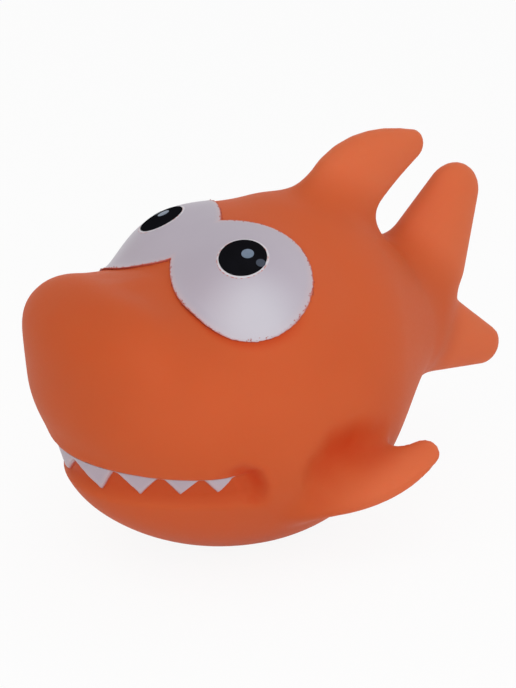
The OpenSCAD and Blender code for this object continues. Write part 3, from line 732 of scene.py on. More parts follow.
@dataclass
class VinylSkin:
    """The hollow cast skin with its fins, rest flat and belly hole."""

    form: ToyForm
    wall: float = 2.6
    floor_wall: float = 4.0
    cell: float = 1.0
    hollow_cell: float = 2.6
    hole_d: float = 20.0
    recess_r: float = 11.9
    recess_h: float = 1.7
    spokes: int = 96
    # Painted shade under the lip and just outside the lower edge of the eyes' white, and painted glow in
    # thin fins
    lip_shade_share: float = 0.38
    rim_shade_share: float = 0.6
    rim_shade_reach: float = 2.2
    rim_shade_fade: float = 8.0
    painted_glow_from: float = 0.3
    painted_glow_full: float = 10.0
    pad: float = 3.0

    def shell(self, dist: Field, cell: float, floor: float, outward: bool) -> bmesh.types.BMesh:
        """One side of the wall, cut off level at a height.

        Args:
            dist: distance whose zero surface is that side.
            cell: pitch of its faces.
            floor: height at which it is cut off.
            outward: False turns its faces to the inside.

        Returns:
            An open mesh whose rim lies at that height.
        """
        lo, hi = (v * TO_MM for v in CAD_BOX)
        width = max(abs(lo.y), hi.y) + self.pad
        low = (lo.x - self.pad, -width, -self.form.flat_cut - self.pad)
        high = (hi.x + self.pad, width, hi.z + self.pad)
        points, faces = surface_net(dist, low, high, cell)
        bm = bmesh.new()
        made = [bm.verts.new(p) for p in points]
        for f in faces:
            bm.faces.new([made[i] for i in (f if outward else f[::-1])])
        every = bm.verts[:] + bm.edges[:] + bm.faces[:]
        bmesh.ops.bisect_plane(
            bm, geom=every, dist=MERGE_MM, plane_co=(0, 0, floor), plane_no=(0, 0, 1), clear_inner=True
        )
        return bm

    def ring(self, bm: bmesh.types.BMesh, radius: float, z: float) -> list[bmesh.types.BMVert]:
        """A circle of points round the squeaker's axis.

        Args:
            bm: mesh that the points go into.
            radius: radius of the circle.
            z: its height.

        Returns:
            The points, in order round the axis.
        """
        x = self.form.squeaker_x
        return [
            bm.verts.new((x + radius * math.cos(a), radius * math.sin(a), z)) for a in turns(self.spokes)
        ]

    def close_floor(self, bm: bmesh.types.BMesh, ring: list[bmesh.types.BMVert], up: bool) -> None:
        """Fills the level face between a shell's rim and a ring of points.

        Args:
            bm: the open shell.
            ring: points of the hole in that face.
            up: True if the face looks up.
        """
        rim = [e for e in bm.edges if e.is_boundary]
        hole = [bm.edges.new((a, b)) for a, b in zip(ring, ring[1:] + ring[:1])]
        made = bmesh.ops.triangle_fill(bm, use_beauty=True, use_dissolve=False, edges=rim + hole)
        faces = [g for g in made["geom"] if isinstance(g, bmesh.types.BMFace)]
        for f in faces:
            f.normal_update()
            if (f.normal.z > 0) != up:
                f.normal_flip()

    def hollow(self, p: np.ndarray) -> np.ndarray:
        """Distance to the air inside, from points in the standing frame; the fins are solid."""
        return self.form.body(self.form.level(p)) + self.wall

    def build(self, material: bpy.types.Material) -> bpy.types.Object:
        """Makes the skin as one closed wall and dresses it.

        Args:
            material: the vinyl.

        Returns:
            The new piece.
        """
        outer = self.shell(self.form.standing, self.cell, 0.0, True)
        hole_r = self.hole_d / 2.0
        steps = ((self.recess_r, self.recess_h), (hole_r, self.recess_h), (hole_r, self.floor_wall))
        mouth = self.ring(outer, self.recess_r, 0.0)
        self.close_floor(outer, mouth, False)
        rings = [mouth] + [self.ring(outer, r, z) for r, z in steps]
        for a, b in zip(rings, rings[1:]):
            for i in range(self.spokes):
                j = (i + 1) % self.spokes
                outer.faces.new((a[i], a[j], b[j], b[i]))
        inner = self.shell(self.hollow, self.hollow_cell, self.floor_wall, False)
        self.close_floor(inner, self.ring(inner, hole_r, self.floor_wall), True)
        points, faces = [], []
        for bm in (outer, inner):
            bm.verts.index_update()
            start = len(points)
            points += [tuple(v.co) for v in bm.verts]
            faces += [[start + v.index for v in f.verts] for f in bm.faces]
            bm.free()
        merged = bmesh.new()
        made = [merged.verts.new(p) for p in points]
        for f in faces:
            merged.faces.new([made[i] for i in f])
        bmesh.ops.remove_doubles(merged, verts=merged.verts, dist=MERGE_MM)
        merged.verts.index_update()
        xyz = np.array([tuple(v.co) for v in merged.verts])
        obj = new_piece("vinyl_skin_smooth", xyz, [[v.index for v in f.verts] for f in merged.faces])
        merged.free()
        # Stores the shares of painted shade and painted glow on the skin, for the vinyl to read
        for name, values in self.painted_light_shares(xyz).items():
            paint_values(obj, name, values)
        return dress(obj, material, "vinyl", "vinyl_skin")

    def painted_light_shares(self, xyz: np.ndarray) -> dict[str, np.ndarray]:
        """Painted shade, redder in folds, under the lip and below the eyes' white, and painted glow, paler
        in thin fins.

        Args:
            xyz: points of the skin in the standing frame.

        Returns:
            Shares from 0 to 1 by attribute name.
        """
        p = mirrored(self.form.level(xyz))
        # Painted shade: redder along the folds, in the step under the upper lip and just below the eyes'
        # white; painted glow: paler where fins are thin
        fold_shade = np.max([fold.red * fold.near(p) for fold in self.form.folds], axis=0)
        lip = self.lip_shade_share * self.form.mouth.depth(p) / self.form.mouth.step
        eyes = EyePaint(self.form)
        rim = self.rim_shade_share * (1.0 - ease(0.0, self.rim_shade_reach, eyes.zone(p)))
        rim = rim * ease(0.0, self.rim_shade_fade, eyes.white.end[2] - p[:, 2])
        return {
            "crease": np.clip(np.maximum(np.maximum(fold_shade, lip), rim), 0.0, 1.0),
            "thin": ease(self.painted_glow_from, self.painted_glow_full, self.form.body(p)),
        }


@dataclass
class Coat:
    """A thin coat of paint that follows the skin."""

    form: ToyForm
    under: float = -0.08
    over: float = 0.12
    shoulder: float = 0.0
    shoulder_fall: float = 0.8
    crowd: float = 1.6

    def closed(self, sheet: np.ndarray, lower: np.ndarray, fan: bool) -> tuple[np.ndarray, list[list[int]]]:
        """Joins an upper and a lower sheet of points into one closed shell.

        Args:
            sheet: upper points, rows by columns by 3, in level axes.
            lower: lower points, likewise.
            fan: True where the columns close up on themselves and the first row is one point.

        Returns:
            Points and faces in the standing frame.
        """
        rows, cols = sheet.shape[:2]
        points = self.form.stand(np.concatenate([sheet.reshape(-1, 3), lower.reshape(-1, 3)]))
        k = rows * cols
        faces: list[list[int]] = []
        last = cols if fan else cols - 1
        for r in range(rows - 1):
            for c in range(last):
                a, b = r * cols + c, r * cols + (c + 1) % cols
                quad = [a, a + cols, b + cols, b]
                faces += [quad, [i + k for i in reversed(quad)]]
        rim = [((rows - 1) * cols + c, (rows - 1) * cols + (c + 1) % cols) for c in range(last)]
        if not fan:
            rim += [(c + 1, c) for c in range(last)]
            rim += [(r * cols, (r + 1) * cols) for r in range(rows - 1)]
            rim += [((r + 2) * cols - 1, (r + 1) * cols - 1) for r in range(rows - 1)]
        faces += [[a, a + k, b + k, b] for a, b in rim]
        return points, faces

    def disc(
        self, name: str, origin: np.ndarray, axis: np.ndarray, spread: np.ndarray, rings: int
    ) -> bpy.types.Object:
        """A coat that fans out from one point of the skin.

        Args:
            name: name of the piece.
            origin: where its rays start, level axes.
            axis: direction of its middle ray.
            spread: angle from the axis to the coat's edge for each spoke, in radians.
            rings: number of rings of faces.

        Returns:
            The new object, with the attribute "edge": millimetres in from the coat's edge.
        """
        side = fan(axis, len(spread))
        part = 1.0 - (1.0 - np.linspace(0.0, 1.0, rings + 1)) ** self.crowd
        angle = part[:, None] * spread[None, :]
        way = tilt(axis, side, angle)
        reach = np.linalg.norm(self.form.cast(origin, way[-1], 0.0) - origin, axis=-1)
        inward = (spread[None, :] - angle) * reach[None, :]
        lift = np.full(angle.shape, self.over)
        if self.shoulder > 0.0:
            fall = 1.0 - np.clip(inward / self.shoulder, 0.0, 1.0)
            lift = self.under + (self.over - self.under) * np.sqrt(1.0 - self.shoulder_fall * fall * fall)
        top = self.form.cast(origin, way, lift)
        low = self.form.cast(origin, way, self.under)
        points, faces = self.closed(top, low, True)
        obj = new_piece(name, points, faces, COAT_SHARP_DEG)
        paint_values(obj, "edge", np.concatenate([inward.ravel(), inward.ravel()]))
        face_outwards(obj, MERGE_M)
        return obj


@dataclass
class EyePaint:
    """The sprayed white over both eyes, the pupils and their printed glints."""

    form: ToyForm
    white: Limb = Limb((-31.5, 0.0, 83.5), (-25.6, 15.5, 71.8), 6.3, 16.2)
    widest_deg: float = 110.0
    halvings: int = 16
    edge_moves: int = 20
    waves: tuple[tuple[int, float], ...] = ((37, 0.0011), (71, 0.001), (113, 0.0012), (151, 0.0008))
    most_shift: float = 6.28
    seed: int = 7
    pupil: tuple[float, float, float] = (-28.0, 16.0, 79.5)
    pupil_r: float = 5.7
    glint: tuple[float, float, float] = (1.0, 0.4, 0.8)
    glint_r: float = 1.45
    spark: tuple[float, float, float] = (2.2, 4.1, -0.3)
    spark_r: float = 1.1
    slip: float = 0.3
    # Point low on the front of each eye where the white turns whiter, with the reaches of that change
    heavy: tuple[float, float, float] = (-30.0, 27.0, 68.0)
    heavy_core: float = 2.0
    heavy_reach: float = 15.0
    white_lift: float = 0.38
    white_shoulder: float = 0.3
    pupil_lift: float = 0.5
    glint_lift: float = 0.58
    lap: float = 0.1
    spokes: int = 540
    white_rings: int = 40
    pupil_net: tuple[int, int] = (96, 10)
    glint_net: tuple[int, int] = (48, 4)

    def zone(self, p: np.ndarray) -> np.ndarray:
        """Below zero where the white is sprayed: round each eye, and drawn in towards the middle plane.

        Args:
            p: points in the level axes.

        Returns:
            About the distance in millimetres to the edge of the white.
        """
        start, end = np.array(self.white.start), np.array(self.white.end)
        run = end - start
        q = mirrored(p) - start
        t = np.clip(q @ run / (run @ run), 0.0, 1.0)
        r = self.white.r_start + (self.white.r_end - self.white.r_start) * np.sin(0.5 * math.pi * t)
        return np.linalg.norm(q - t[..., None] * run, axis=-1) - r

    def middle(self) -> tuple[np.ndarray, np.ndarray]:
        """Where the white is spread out from.

        Returns:
            A point inside the head and the direction of the middle ray.
        """
        origin = np.array([self.form.dome[0], 0.0, self.form.dome[2]])
        axis = np.array([self.white.start[0], 0.0, self.white.start[2]]) - origin
        return origin, unit(axis)

    def edge(self, origin: np.ndarray, axis: np.ndarray) -> np.ndarray:
        """Angle from the axis to the edge of the white, for each spoke.

        Args:
            origin: where the rays start, level axes.
            axis: direction of the middle ray.

        Returns:
            Angles in radians, with the slight wander of a sprayed edge.
        """
        turn, side = turns(self.spokes), fan(axis, self.spokes)
        lo, hi = np.zeros(self.spokes), np.full(self.spokes, math.radians(self.widest_deg))
        for _ in range(self.halvings):
            mid = (lo + hi) / 2.0
            hit = self.form.cast(origin, tilt(axis, side, mid), 0.0, self.edge_moves)
            inside = self.zone(hit) < 0
            lo, hi = np.where(inside, mid, lo), np.where(inside, hi, mid)
        rng = np.random.default_rng(self.seed)
        shifts = [rng.uniform(0.0, self.most_shift) for _ in self.waves]
        wander = sum(size * np.sin(count * turn + shift) for (count, size), shift in zip(self.waves, shifts))
        return (lo + hi) / 2.0 + wander

    def build(self, finishes: dict[str, bpy.types.Material]) -> list[bpy.types.Object]:
        """Makes the white, both pupils and their glints.

        Args:
            finishes: materials by slot name.

        Returns:
            The new pieces.
        """
        origin, axis = self.middle()
        raised = Coat(self.form, over=self.white_lift, shoulder=self.white_shoulder)
        white = raised.disc("eye_white_coat", origin, axis, self.edge(origin, axis), self.white_rings)
        self.mark(white)
        made = [dress(white, finishes["eye_paint"], "eye_paint", "eye_white")]
        on_white = (self.white_lift - self.lap, self.pupil_lift)
        on_pupil = (self.pupil_lift - self.lap, self.glint_lift)
        prints = (("glint", self.glint, self.glint_r), ("spark", self.spark, self.spark_r))
        for side in Side:
            flip = np.array([1.0, side.value, 1.0])
            middle = np.array(self.form.dome) * flip
            name = side.name.lower()
            centre = np.array(self.pupil)
            at = centre * flip
            pupil = self.dot(f"{name}_pupil_coat", middle, at, self.pupil_r, on_white, self.pupil_net)
            made.append(dress(pupil, finishes["pupil_paint"], "pupil_paint", f"{name}_pupil"))
            spots = [
                self.dot(f"{name}_{what}", middle, (centre + off) * flip, r, on_pupil, self.glint_net)
                for what, off, r in prints
            ]
            tone = np.repeat([0.0, 1.0], [len(o.data.vertices) for o in spots])
            both = join(f"{name}_glint_coat", spots)
            paint_values(both, "faded", tone)
            made.append(dress(both, finishes["glint_paint"], "glint_paint", f"{name}_glints"))
        return made

    def mark(self, white: bpy.types.Object) -> None:
        """Marks the white with distances from the pupils and from their slipped line, and where it turns
        whiter.

        Args:
            white: the finished white of the eyes.
        """
        p = mirrored(self.form.level(np.array([tuple(v.co) for v in white.data.vertices]) / MM))
        middle = np.array(self.form.dome)
        centre = self.form.cast(middle, np.array(self.pupil) - middle, self.white_lift)
        outward = unit(centre - middle)
        down = unit(np.array([0.0, 0.0, -1.0]) + outward * outward[2])
        halo = np.linalg.norm(p - centre, axis=-1) - self.pupil_r
        line = np.linalg.norm(p - centre - down * self.slip, axis=-1) - self.pupil_r - self.slip
        # Whiter towards a point low on the front of each eye
        low = np.linalg.norm(p - np.array(self.heavy), axis=-1)
        paint_values(white, "halo", halo)
        paint_values(white, "slipped_line", line)
        paint_values(white, "heavy", 1.0 - ease(self.heavy_core, self.heavy_reach, low))

    def dot(
        self,
        name: str,
        middle: np.ndarray,
        centre: np.ndarray,
        r: float,
        span: tuple[float, float],
        net: tuple[int, int],
    ) -> bpy.types.Object:
        """A round coat about a point of the skin.

        Args:
            name: name of the piece.
            middle: centre of the eye's dome.
            centre: point that the dot is centred on.
            r: its radius.
            span: heights of its lower and upper side above the skin.
            net: number of points round it, and number of rings of faces.

        Returns:
            The new object.
        """
        spokes, rings = net
        spread = np.full(spokes, math.atan(r / float(np.linalg.norm(centre - middle))))
        return Coat(self.form, *span).disc(name, middle, unit(centre - middle), spread, rings)


@dataclass
class SprayFlecks:
    """Specks of paint off the mask's edge, strewn round the white of the eyes by Geometry Nodes."""

    form: ToyForm
    rows: tuple[tuple[float, float], ...] = ((-0.9, 0.40), (-0.2, 0.38), (0.15, 0.06), (0.5, 0.04))
    per_m2: float = 1.1e6
    size: tuple[float, float] = (0.00008, 0.0002)
    seed: int = 11

    def ribbon(self) -> bpy.types.Object:
        """A narrow strip along the edge of the white that the specks land on.

        Returns:
            The strip, which is removed once the specks are made.
        """
        paint = EyePaint(self.form)
        origin, axis = paint.middle()
        side = fan(axis, paint.spokes)
        spread = paint.edge(origin, axis)
        reach = np.linalg.norm(self.form.cast(origin, tilt(axis, side, spread), 0.0) - origin, axis=-1)
        rings = [
            self.form.cast(origin, tilt(axis, side, spread + out / reach), lift) for out, lift in self.rows
        ]
        n = paint.spokes
        faces = [
            [r * n + c, (r + 1) * n + c, (r + 1) * n + (c + 1) % n, r * n + (c + 1) % n]
            for r in range(len(rings) - 1)
            for c in range(n)
        ]
        return new_piece("fleck_strip", self.form.stand(np.concatenate(rings)), faces)

    def tree(self) -> bpy.types.GeometryNodeTree:
        """Node tree that strews specks over a strip.

        Returns:
            The tree, with inputs for the strip, the crowd, the sizes, the seed and the material.
        """
        group = bpy.data.node_groups.new("strewn_flecks", "GeometryNodeTree")
        for label, kind in (
            ("Strip", "NodeSocketGeometry"),
            ("Per Area", "NodeSocketFloat"),
            ("Least Size", "NodeSocketFloat"),
            ("Most Size", "NodeSocketFloat"),
            ("Seed", "NodeSocketInt"),
            ("Material", "NodeSocketMaterial"),
        ):
            group.interface.new_socket(label, in_out="INPUT", socket_type=kind)
        group.interface.new_socket("Flecks", in_out="OUTPUT", socket_type="NodeSocketGeometry")
        t = Tree(group)
        take, give = t.add("NodeGroupInput"), t.add("NodeGroupOutput")
        strew = t.add("GeometryNodeDistributePointsOnFaces")
        speck = t.add("GeometryNodeMeshIcoSphere")
        sizes = t.add("FunctionNodeRandomValue", data_type="FLOAT")
        place = t.add("GeometryNodeInstanceOnPoints")
        real, coat = t.add("GeometryNodeRealizeInstances"), t.add("GeometryNodeSetMaterial")
        speck.inputs["Radius"].default_value = 1.0
        speck.inputs["Subdivisions"].default_value = 1
        for out, into in (
            (take.outputs["Strip"], strew.inputs["Mesh"]),
            (take.outputs["Per Area"], strew.inputs["Density"]),
            (take.outputs["Seed"], strew.inputs["Seed"]),
            (take.outputs["Least Size"], sizes.inputs[2]),
            (take.outputs["Most Size"], sizes.inputs[3]),
            (take.outputs["Seed"], sizes.inputs["Seed"]),
            (strew.outputs["Points"], place.inputs["Points"]),
            (speck.outputs["Mesh"], place.inputs["Instance"]),
            (strew.outputs["Rotation"], place.inputs["Rotation"]),
            (sizes.outputs[1], place.inputs["Scale"]),
            (place.outputs["Instances"], real.inputs["Geometry"]),
            (real.outputs["Geometry"], coat.inputs["Geometry"]),
            (take.outputs["Material"], coat.inputs["Material"]),
            (coat.outputs["Geometry"], give.inputs["Flecks"]),
        ):
            t.link(out, into)
        return group

    def build(self, material: bpy.types.Material) -> bpy.types.Object:
        """Makes the specks as one plain mesh.

        Args:
            material: finish of the specks.

        Returns:
            The new piece.
        """
        strip = self.ribbon()
        group = self.tree()
        values = {
            "Per Area": self.per_m2,
            "Least Size": self.size[0],
            "Most Size": self.size[1],
            "Seed": self.seed,
            "Material": material,
        }
        strew = strip.modifiers.new("strewn_flecks", "NODES")
        strew.node_group = group
        for item in group.interface.items_tree:
            if item.in_out == "INPUT" and item.name in values:
                strew[item.identifier] = values[item.name]
        seen = strip.evaluated_get(bpy.context.evaluated_depsgraph_get())
        mesh = bpy.data.meshes.new_from_object(seen)
        bpy.data.objects.remove(strip)
        mesh.name = "spray_flecks"
        mesh.shade_smooth()
        return dress(add_object("spray_flecks", mesh), material, "vinyl")


@dataclass
class ToothPaint:
    """The sprayed zigzag of teeth under the upper lip."""

    form: ToyForm
    arc_x: float = -26.0
    ends_deg: tuple[float, ...] = (24.5, 47.5, 65.0, 78.0)
    tips_deg: tuple[float, ...] = (15.5, 38.0, 58.5, 75.0)
    tall: tuple[float, ...] = (7.2, 6.8, 6.0, 5.2)
    middle_h: float = 1.1
    band: float = 0.5
    drop: float = 0.35
    relief: tuple[float, float] = (1.3, 0.4)
    tuck: float = 0.12
    bevel: float = 0.9
    shell: float = 0.2
    steps: int = 28
    rows: int = 12

    def half(self) -> list[tuple[float, float]]:
        """Outline of the teeth from the middle to one corner.

        Returns:
            Angle round the mouth in degrees and height below the band, point by point.
        """
        line = [(0.0, self.middle_h)]
        start, low = 0.0, self.middle_h
        for end, tip, tall in zip(self.ends_deg, self.tips_deg, self.tall):
            for k in range(1, 2 * self.steps + 1):
                u = 1.0 - abs(k - self.steps) / self.steps
                foot, base = (start, low) if k < self.steps else (end, 0.0)
                line.append((foot + (tip - foot) * u, base + (tall - base) * self.point(u)))
            start, low = end, 0.0
        return line

    @staticmethod
    def point(u: float, valley: float = 0.08, tip: float = 0.05) -> float:
        """Height at a share of the way to a tooth's tip, rounded between the teeth and at the tip."""
        rise = (math.hypot(u, valley) - valley) / (math.hypot(1.0, valley) - valley)
        return max(1.0 - math.hypot(1.0 - rise, tip) + tip * (1.0 - rise), 0.0)

    def build(self, material: bpy.types.Material) -> bpy.types.Object:
        """Makes the teeth as one thin coat on the recessed band.

        Args:
            material: the tooth paint.

        Returns:
            The new piece.
        """
        half = self.half()
        line = [(-a, h) for a, h in half[:0:-1]] + half
        angle = np.radians([a for a, _ in line])
        height = np.array([h for _, h in line])
        part = np.linspace(0.0, 1.0, self.rows + 1)[:, None]
        drop = self.drop + (self.band + height[None, :]) * part
        mouth = self.form.mouth
        level = mouth.lip_height(self.arc_x) - drop
        origin = np.stack([np.full(drop.shape, self.arc_x), 0 * drop, level], -1)
        way = np.stack([-np.cos(angle), np.sin(angle), -mouth.slope * np.cos(angle)], -1)
        way = np.broadcast_to(way, origin.shape)
        coat = Coat(self.form)
        inward = (self.band + height[None, :]) * (1.0 - part)
        relief = self.relief[0] + (self.relief[1] - self.relief[0]) * np.abs(angle[None, :]) / angle.max()
        bare = mirrored(self.form.cast(origin, way, 0.0))
        open_share = np.clip(mouth.depth(bare) / mouth.step, 0.0, 1.0)
        lift = coat.over + (relief - coat.over) * ease(0.0, self.bevel, inward)
        lift = lift * open_share - self.tuck * (1.0 - open_share)
        low = np.minimum(coat.under, lift - self.shell)
        top, bottom = self.form.cast(origin, way, lift), self.form.cast(origin, way, low)
        points, faces = coat.closed(top, bottom, False)
        obj = new_piece("teeth_coat", points, faces, COAT_SHARP_DEG)
        paint_values(obj, "edge", np.concatenate([inward.ravel(), inward.ravel()]))
        face_outwards(obj)
        return dress(obj, material, "tooth_paint", "teeth")


# Finishes


class Tree:
    """Short ways to add nodes to a tree and join them."""

    def __init__(self, tree: bpy.types.NodeTree) -> None:
        """Keeps the tree that nodes are added to."""
        self.tree = tree

    def add(self, kind: str, **values: object) -> bpy.types.Node:
        """Adds a node.

        Args:
            kind: the node's type name.
            values: properties of the node by name.

        Returns:
            The new node.
        """
        node = self.tree.nodes.new(kind)
        for key, value in values.items():
            setattr(node, key, value)
        return node

    def link(self, out: bpy.types.NodeSocket, into: bpy.types.NodeSocket) -> None:
        """Joins two sockets."""
        self.tree.links.new(out, into)

    def math(self, operation: str, a: object, b: object = 0.0, clamp: bool = False) -> bpy.types.NodeSocket:
        """Adds a sum of two numbers or sockets.

        Args:
            operation: kind of sum.
            a: first number or socket.
            b: second number or socket.
            clamp: True keeps the result between 0 and 1.

        Returns:
            The output of the sum.
        """
        node = self.add("ShaderNodeMath", operation=operation, use_clamp=clamp)
        for socket, value in zip(node.inputs, (a, b)):
            if isinstance(value, bpy.types.NodeSocket):
                self.link(value, socket)
            else:
                socket.default_value = float(value)
        return node.outputs[0]

    def mix(self, share: bpy.types.NodeSocket, a: object, b: object) -> bpy.types.NodeSocket:
        """Mixes two colours or colour sockets.

        Args:
            share: how much of the second colour shows.
            a: first colour.
            b: second colour.

        Returns:
            The mixed colour.
        """
        node = self.add("ShaderNodeMix", data_type="RGBA")
        self.link(share, node.inputs["Factor"])
        for socket, value in zip((node.inputs[6], node.inputs[7]), (a, b)):
            if isinstance(value, bpy.types.NodeSocket):
                self.link(value, socket)
            else:
                socket.default_value = (*value, 1.0)
        return node.outputs[2]

    def span(
        self, value: bpy.types.NodeSocket, source: tuple[float, float], target: tuple[float, float]
    ) -> bpy.types.NodeSocket:
        """Maps a value from one range to another, smoothly and clamped.

        Args:
            value: the value.
            source: ends of the range that it comes from.
            target: what those ends become.

        Returns:
            The mapped value.
        """
        node = self.add("ShaderNodeMapRange", interpolation_type="SMOOTHSTEP")
        self.link(value, node.inputs["Value"])
        for key, number in zip(("From Min", "From Max", "To Min", "To Max"), source + target):
            node.inputs[key].default_value = number
        return node.outputs["Result"]


class MouldGrain:
    """Shader group for what a moulded or sprayed surface shows close up: drift of tone and fine grain."""

    name = "mould_grain"

    @classmethod
    def group(cls) -> bpy.types.ShaderNodeTree:
        """Builds the group once and gives it.

        Returns:
            The group, with scales as inputs and the drift and the grain as outputs.
        """
        found = bpy.data.node_groups.get(cls.name)
        if found:
            return found
        group = bpy.data.node_groups.new(cls.name, "ShaderNodeTree")
        for label, value in (("Drift Scale", 30.0), ("Grain Scale", 2500.0)):
            socket = group.interface.new_socket(label, in_out="INPUT", socket_type="NodeSocketFloat")
            socket.default_value = value
        for label in ("Drift", "Grain"):
            group.interface.new_socket(label, in_out="OUTPUT", socket_type="NodeSocketFloat")
        t = Tree(group)
        take, give = t.add("NodeGroupInput"), t.add("NodeGroupOutput")
        place = t.add("ShaderNodeTexCoord")
        for label, detail in (("Drift", 3.0), ("Grain", 2.0)):
            noise = t.add("ShaderNodeTexNoise")
            noise.inputs["Detail"].default_value = detail
            t.link(place.outputs["Object"], noise.inputs["Vector"])
            t.link(take.outputs[f"{label} Scale"], noise.inputs["Scale"])
            t.link(noise.outputs["Fac"], give.inputs[label])
        return group


@dataclass(frozen=True)
class Finish:
    """What every finish of the toy shares: a name, a colour that drifts to a tint, gloss and grain."""

    name: str
    color: tuple[float, float, float]
    tint: tuple[float, float, float]
    roughness: float = 0.5
    gloss_swing: float = 0.03
    specular: float = 0.5
    drift_scale: float = 30.0
    drift_span: tuple[float, float] = (0.35, 0.65)
    grain_scale: float = 2500.0
    grain_span: tuple[float, float] = (0.3, 0.7)
    grain: float = 0.02
    grain_m: float = 0.0002

    def start(self) -> tuple[bpy.types.Material, Tree, bpy.types.Node, bpy.types.Node]:
        """Makes an empty material with its shader and its grain group.

        Returns:
            The material, its tree, the Principled shader and the grain group's node.
        """
        material = bpy.data.materials.new(self.name)
        material.use_nodes = True
        t = Tree(material.node_tree)
        t.tree.nodes.clear()
        shader, out = t.add("ShaderNodeBsdfPrincipled"), t.add("ShaderNodeOutputMaterial")
        t.link(shader.outputs[0], out.inputs["Surface"])
        shader.inputs["Specular IOR Level"].default_value = self.specular
        grain = t.add("ShaderNodeGroup", node_tree=MouldGrain.group())
        grain.inputs["Drift Scale"].default_value = self.drift_scale
        grain.inputs["Grain Scale"].default_value = self.grain_scale
        bump = t.add("ShaderNodeBump")
        bump.inputs["Strength"].default_value = self.grain
        bump.inputs["Distance"].default_value = self.grain_m
        t.link(grain.outputs["Grain"], bump.inputs["Height"])
        t.link(bump.outputs["Normal"], shader.inputs["Normal"])
        swing = (self.roughness - self.gloss_swing, self.roughness + self.gloss_swing)
        t.link(t.span(grain.outputs["Grain"], self.grain_span, swing), shader.inputs["Roughness"])
        return material, t, shader, grain

    def drifted(self, t: Tree, grain: bpy.types.Node) -> bpy.types.NodeSocket:
        """The base colour with its slow drift of tone."""
        share = t.span(grain.outputs["Drift"], self.drift_span, (0.0, 1.0))
        return t.mix(share, self.color, self.tint)

    def build(self) -> bpy.types.Material:
        """Makes the material of a plain moulded or sprayed piece.

        Returns:
            The new material.
        """
        material, t, shader, grain = self.start()
        t.link(self.drifted(t, grain), shader.inputs["Base Color"])
        return material


@dataclass(frozen=True)
class VinylFinish(Finish):
    """Soft translucent vinyl, with painted shade that makes it redder in folds and a painted glow that makes
    it paler in thin fins.
    """

    # Colour of the painted shade in folds, then colour of the painted glow in thin fins
    painted_shade_red: tuple[float, float, float] = (0.52, 0.036, 0.003)
    thin: tuple[float, float, float] = (0.69, 0.150, 0.057)
    scatter: float = 0.25
    scatter_mm: tuple[float, float, float] = (2.2, 0.6, 0.25)

    def build(self) -> bpy.types.Material:
        """Makes the vinyl.

        Returns:
            The new material.
        """
        material, t, shader, grain = self.start()
        # Mixes in painted shade by the crease share and painted glow by the thin share
        fold = t.add("ShaderNodeAttribute", attribute_name="crease")
        fin = t.add("ShaderNodeAttribute", attribute_name="thin")
        color = t.mix(fin.outputs["Fac"], self.drifted(t, grain), self.thin)
        t.link(t.mix(fold.outputs["Fac"], color, self.painted_shade_red), shader.inputs["Base Color"])
        shader.inputs["Subsurface Weight"].default_value = self.scatter
        shader.inputs["Subsurface Scale"].default_value = MM
        shader.inputs["Subsurface Radius"].default_value = self.scatter_mm
        return material


@dataclass(frozen=True)
class SprayFinish(Finish):
    """Paint sprayed through a mask, stained at its edge and with a pink fringe. Lengths in millimetres."""

    line: tuple[float, float, float] = (0.50, 0.10, 0.07)
    line_mm: float = 0.65
    line_core: float = 0.4
    fringe: tuple[float, float, float] = (0.57, 0.43, 0.45)
    fringe_mm: float = 3.0
    fringe_share: float = 0.6
    wander_mm: float = 0.25

    def sprayed(self, t: Tree, grain: bpy.types.Node) -> bpy.types.NodeSocket:
        """The paint's colour with its fringe and its stained edge.

        Args:
            t: tree of the material.
            grain: node of its grain group.

        Returns:
            The colour.
        """
        edge = t.add("ShaderNodeAttribute", attribute_name="edge")
        wander = t.span(grain.outputs["Grain"], self.grain_span, (-self.wander_mm, self.wander_mm))
        ragged = t.math("ADD", edge.outputs["Fac"], wander)
        soft = t.span(edge.outputs["Fac"], (0.0, self.fringe_mm), (self.fringe_share, 0.0))
        share = t.span(ragged, (self.line_core * self.line_mm, self.line_mm), (1.0, 0.0))
        return t.mix(share, t.mix(soft, self.drifted(t, grain), self.fringe), self.line)

    def build(self) -> bpy.types.Material:
        """Makes the sprayed paint.

        Returns:
            The new material.
        """
        material, t, shader, grain = self.start()
        t.link(self.sprayed(t, grain), shader.inputs["Base Color"])
        return material


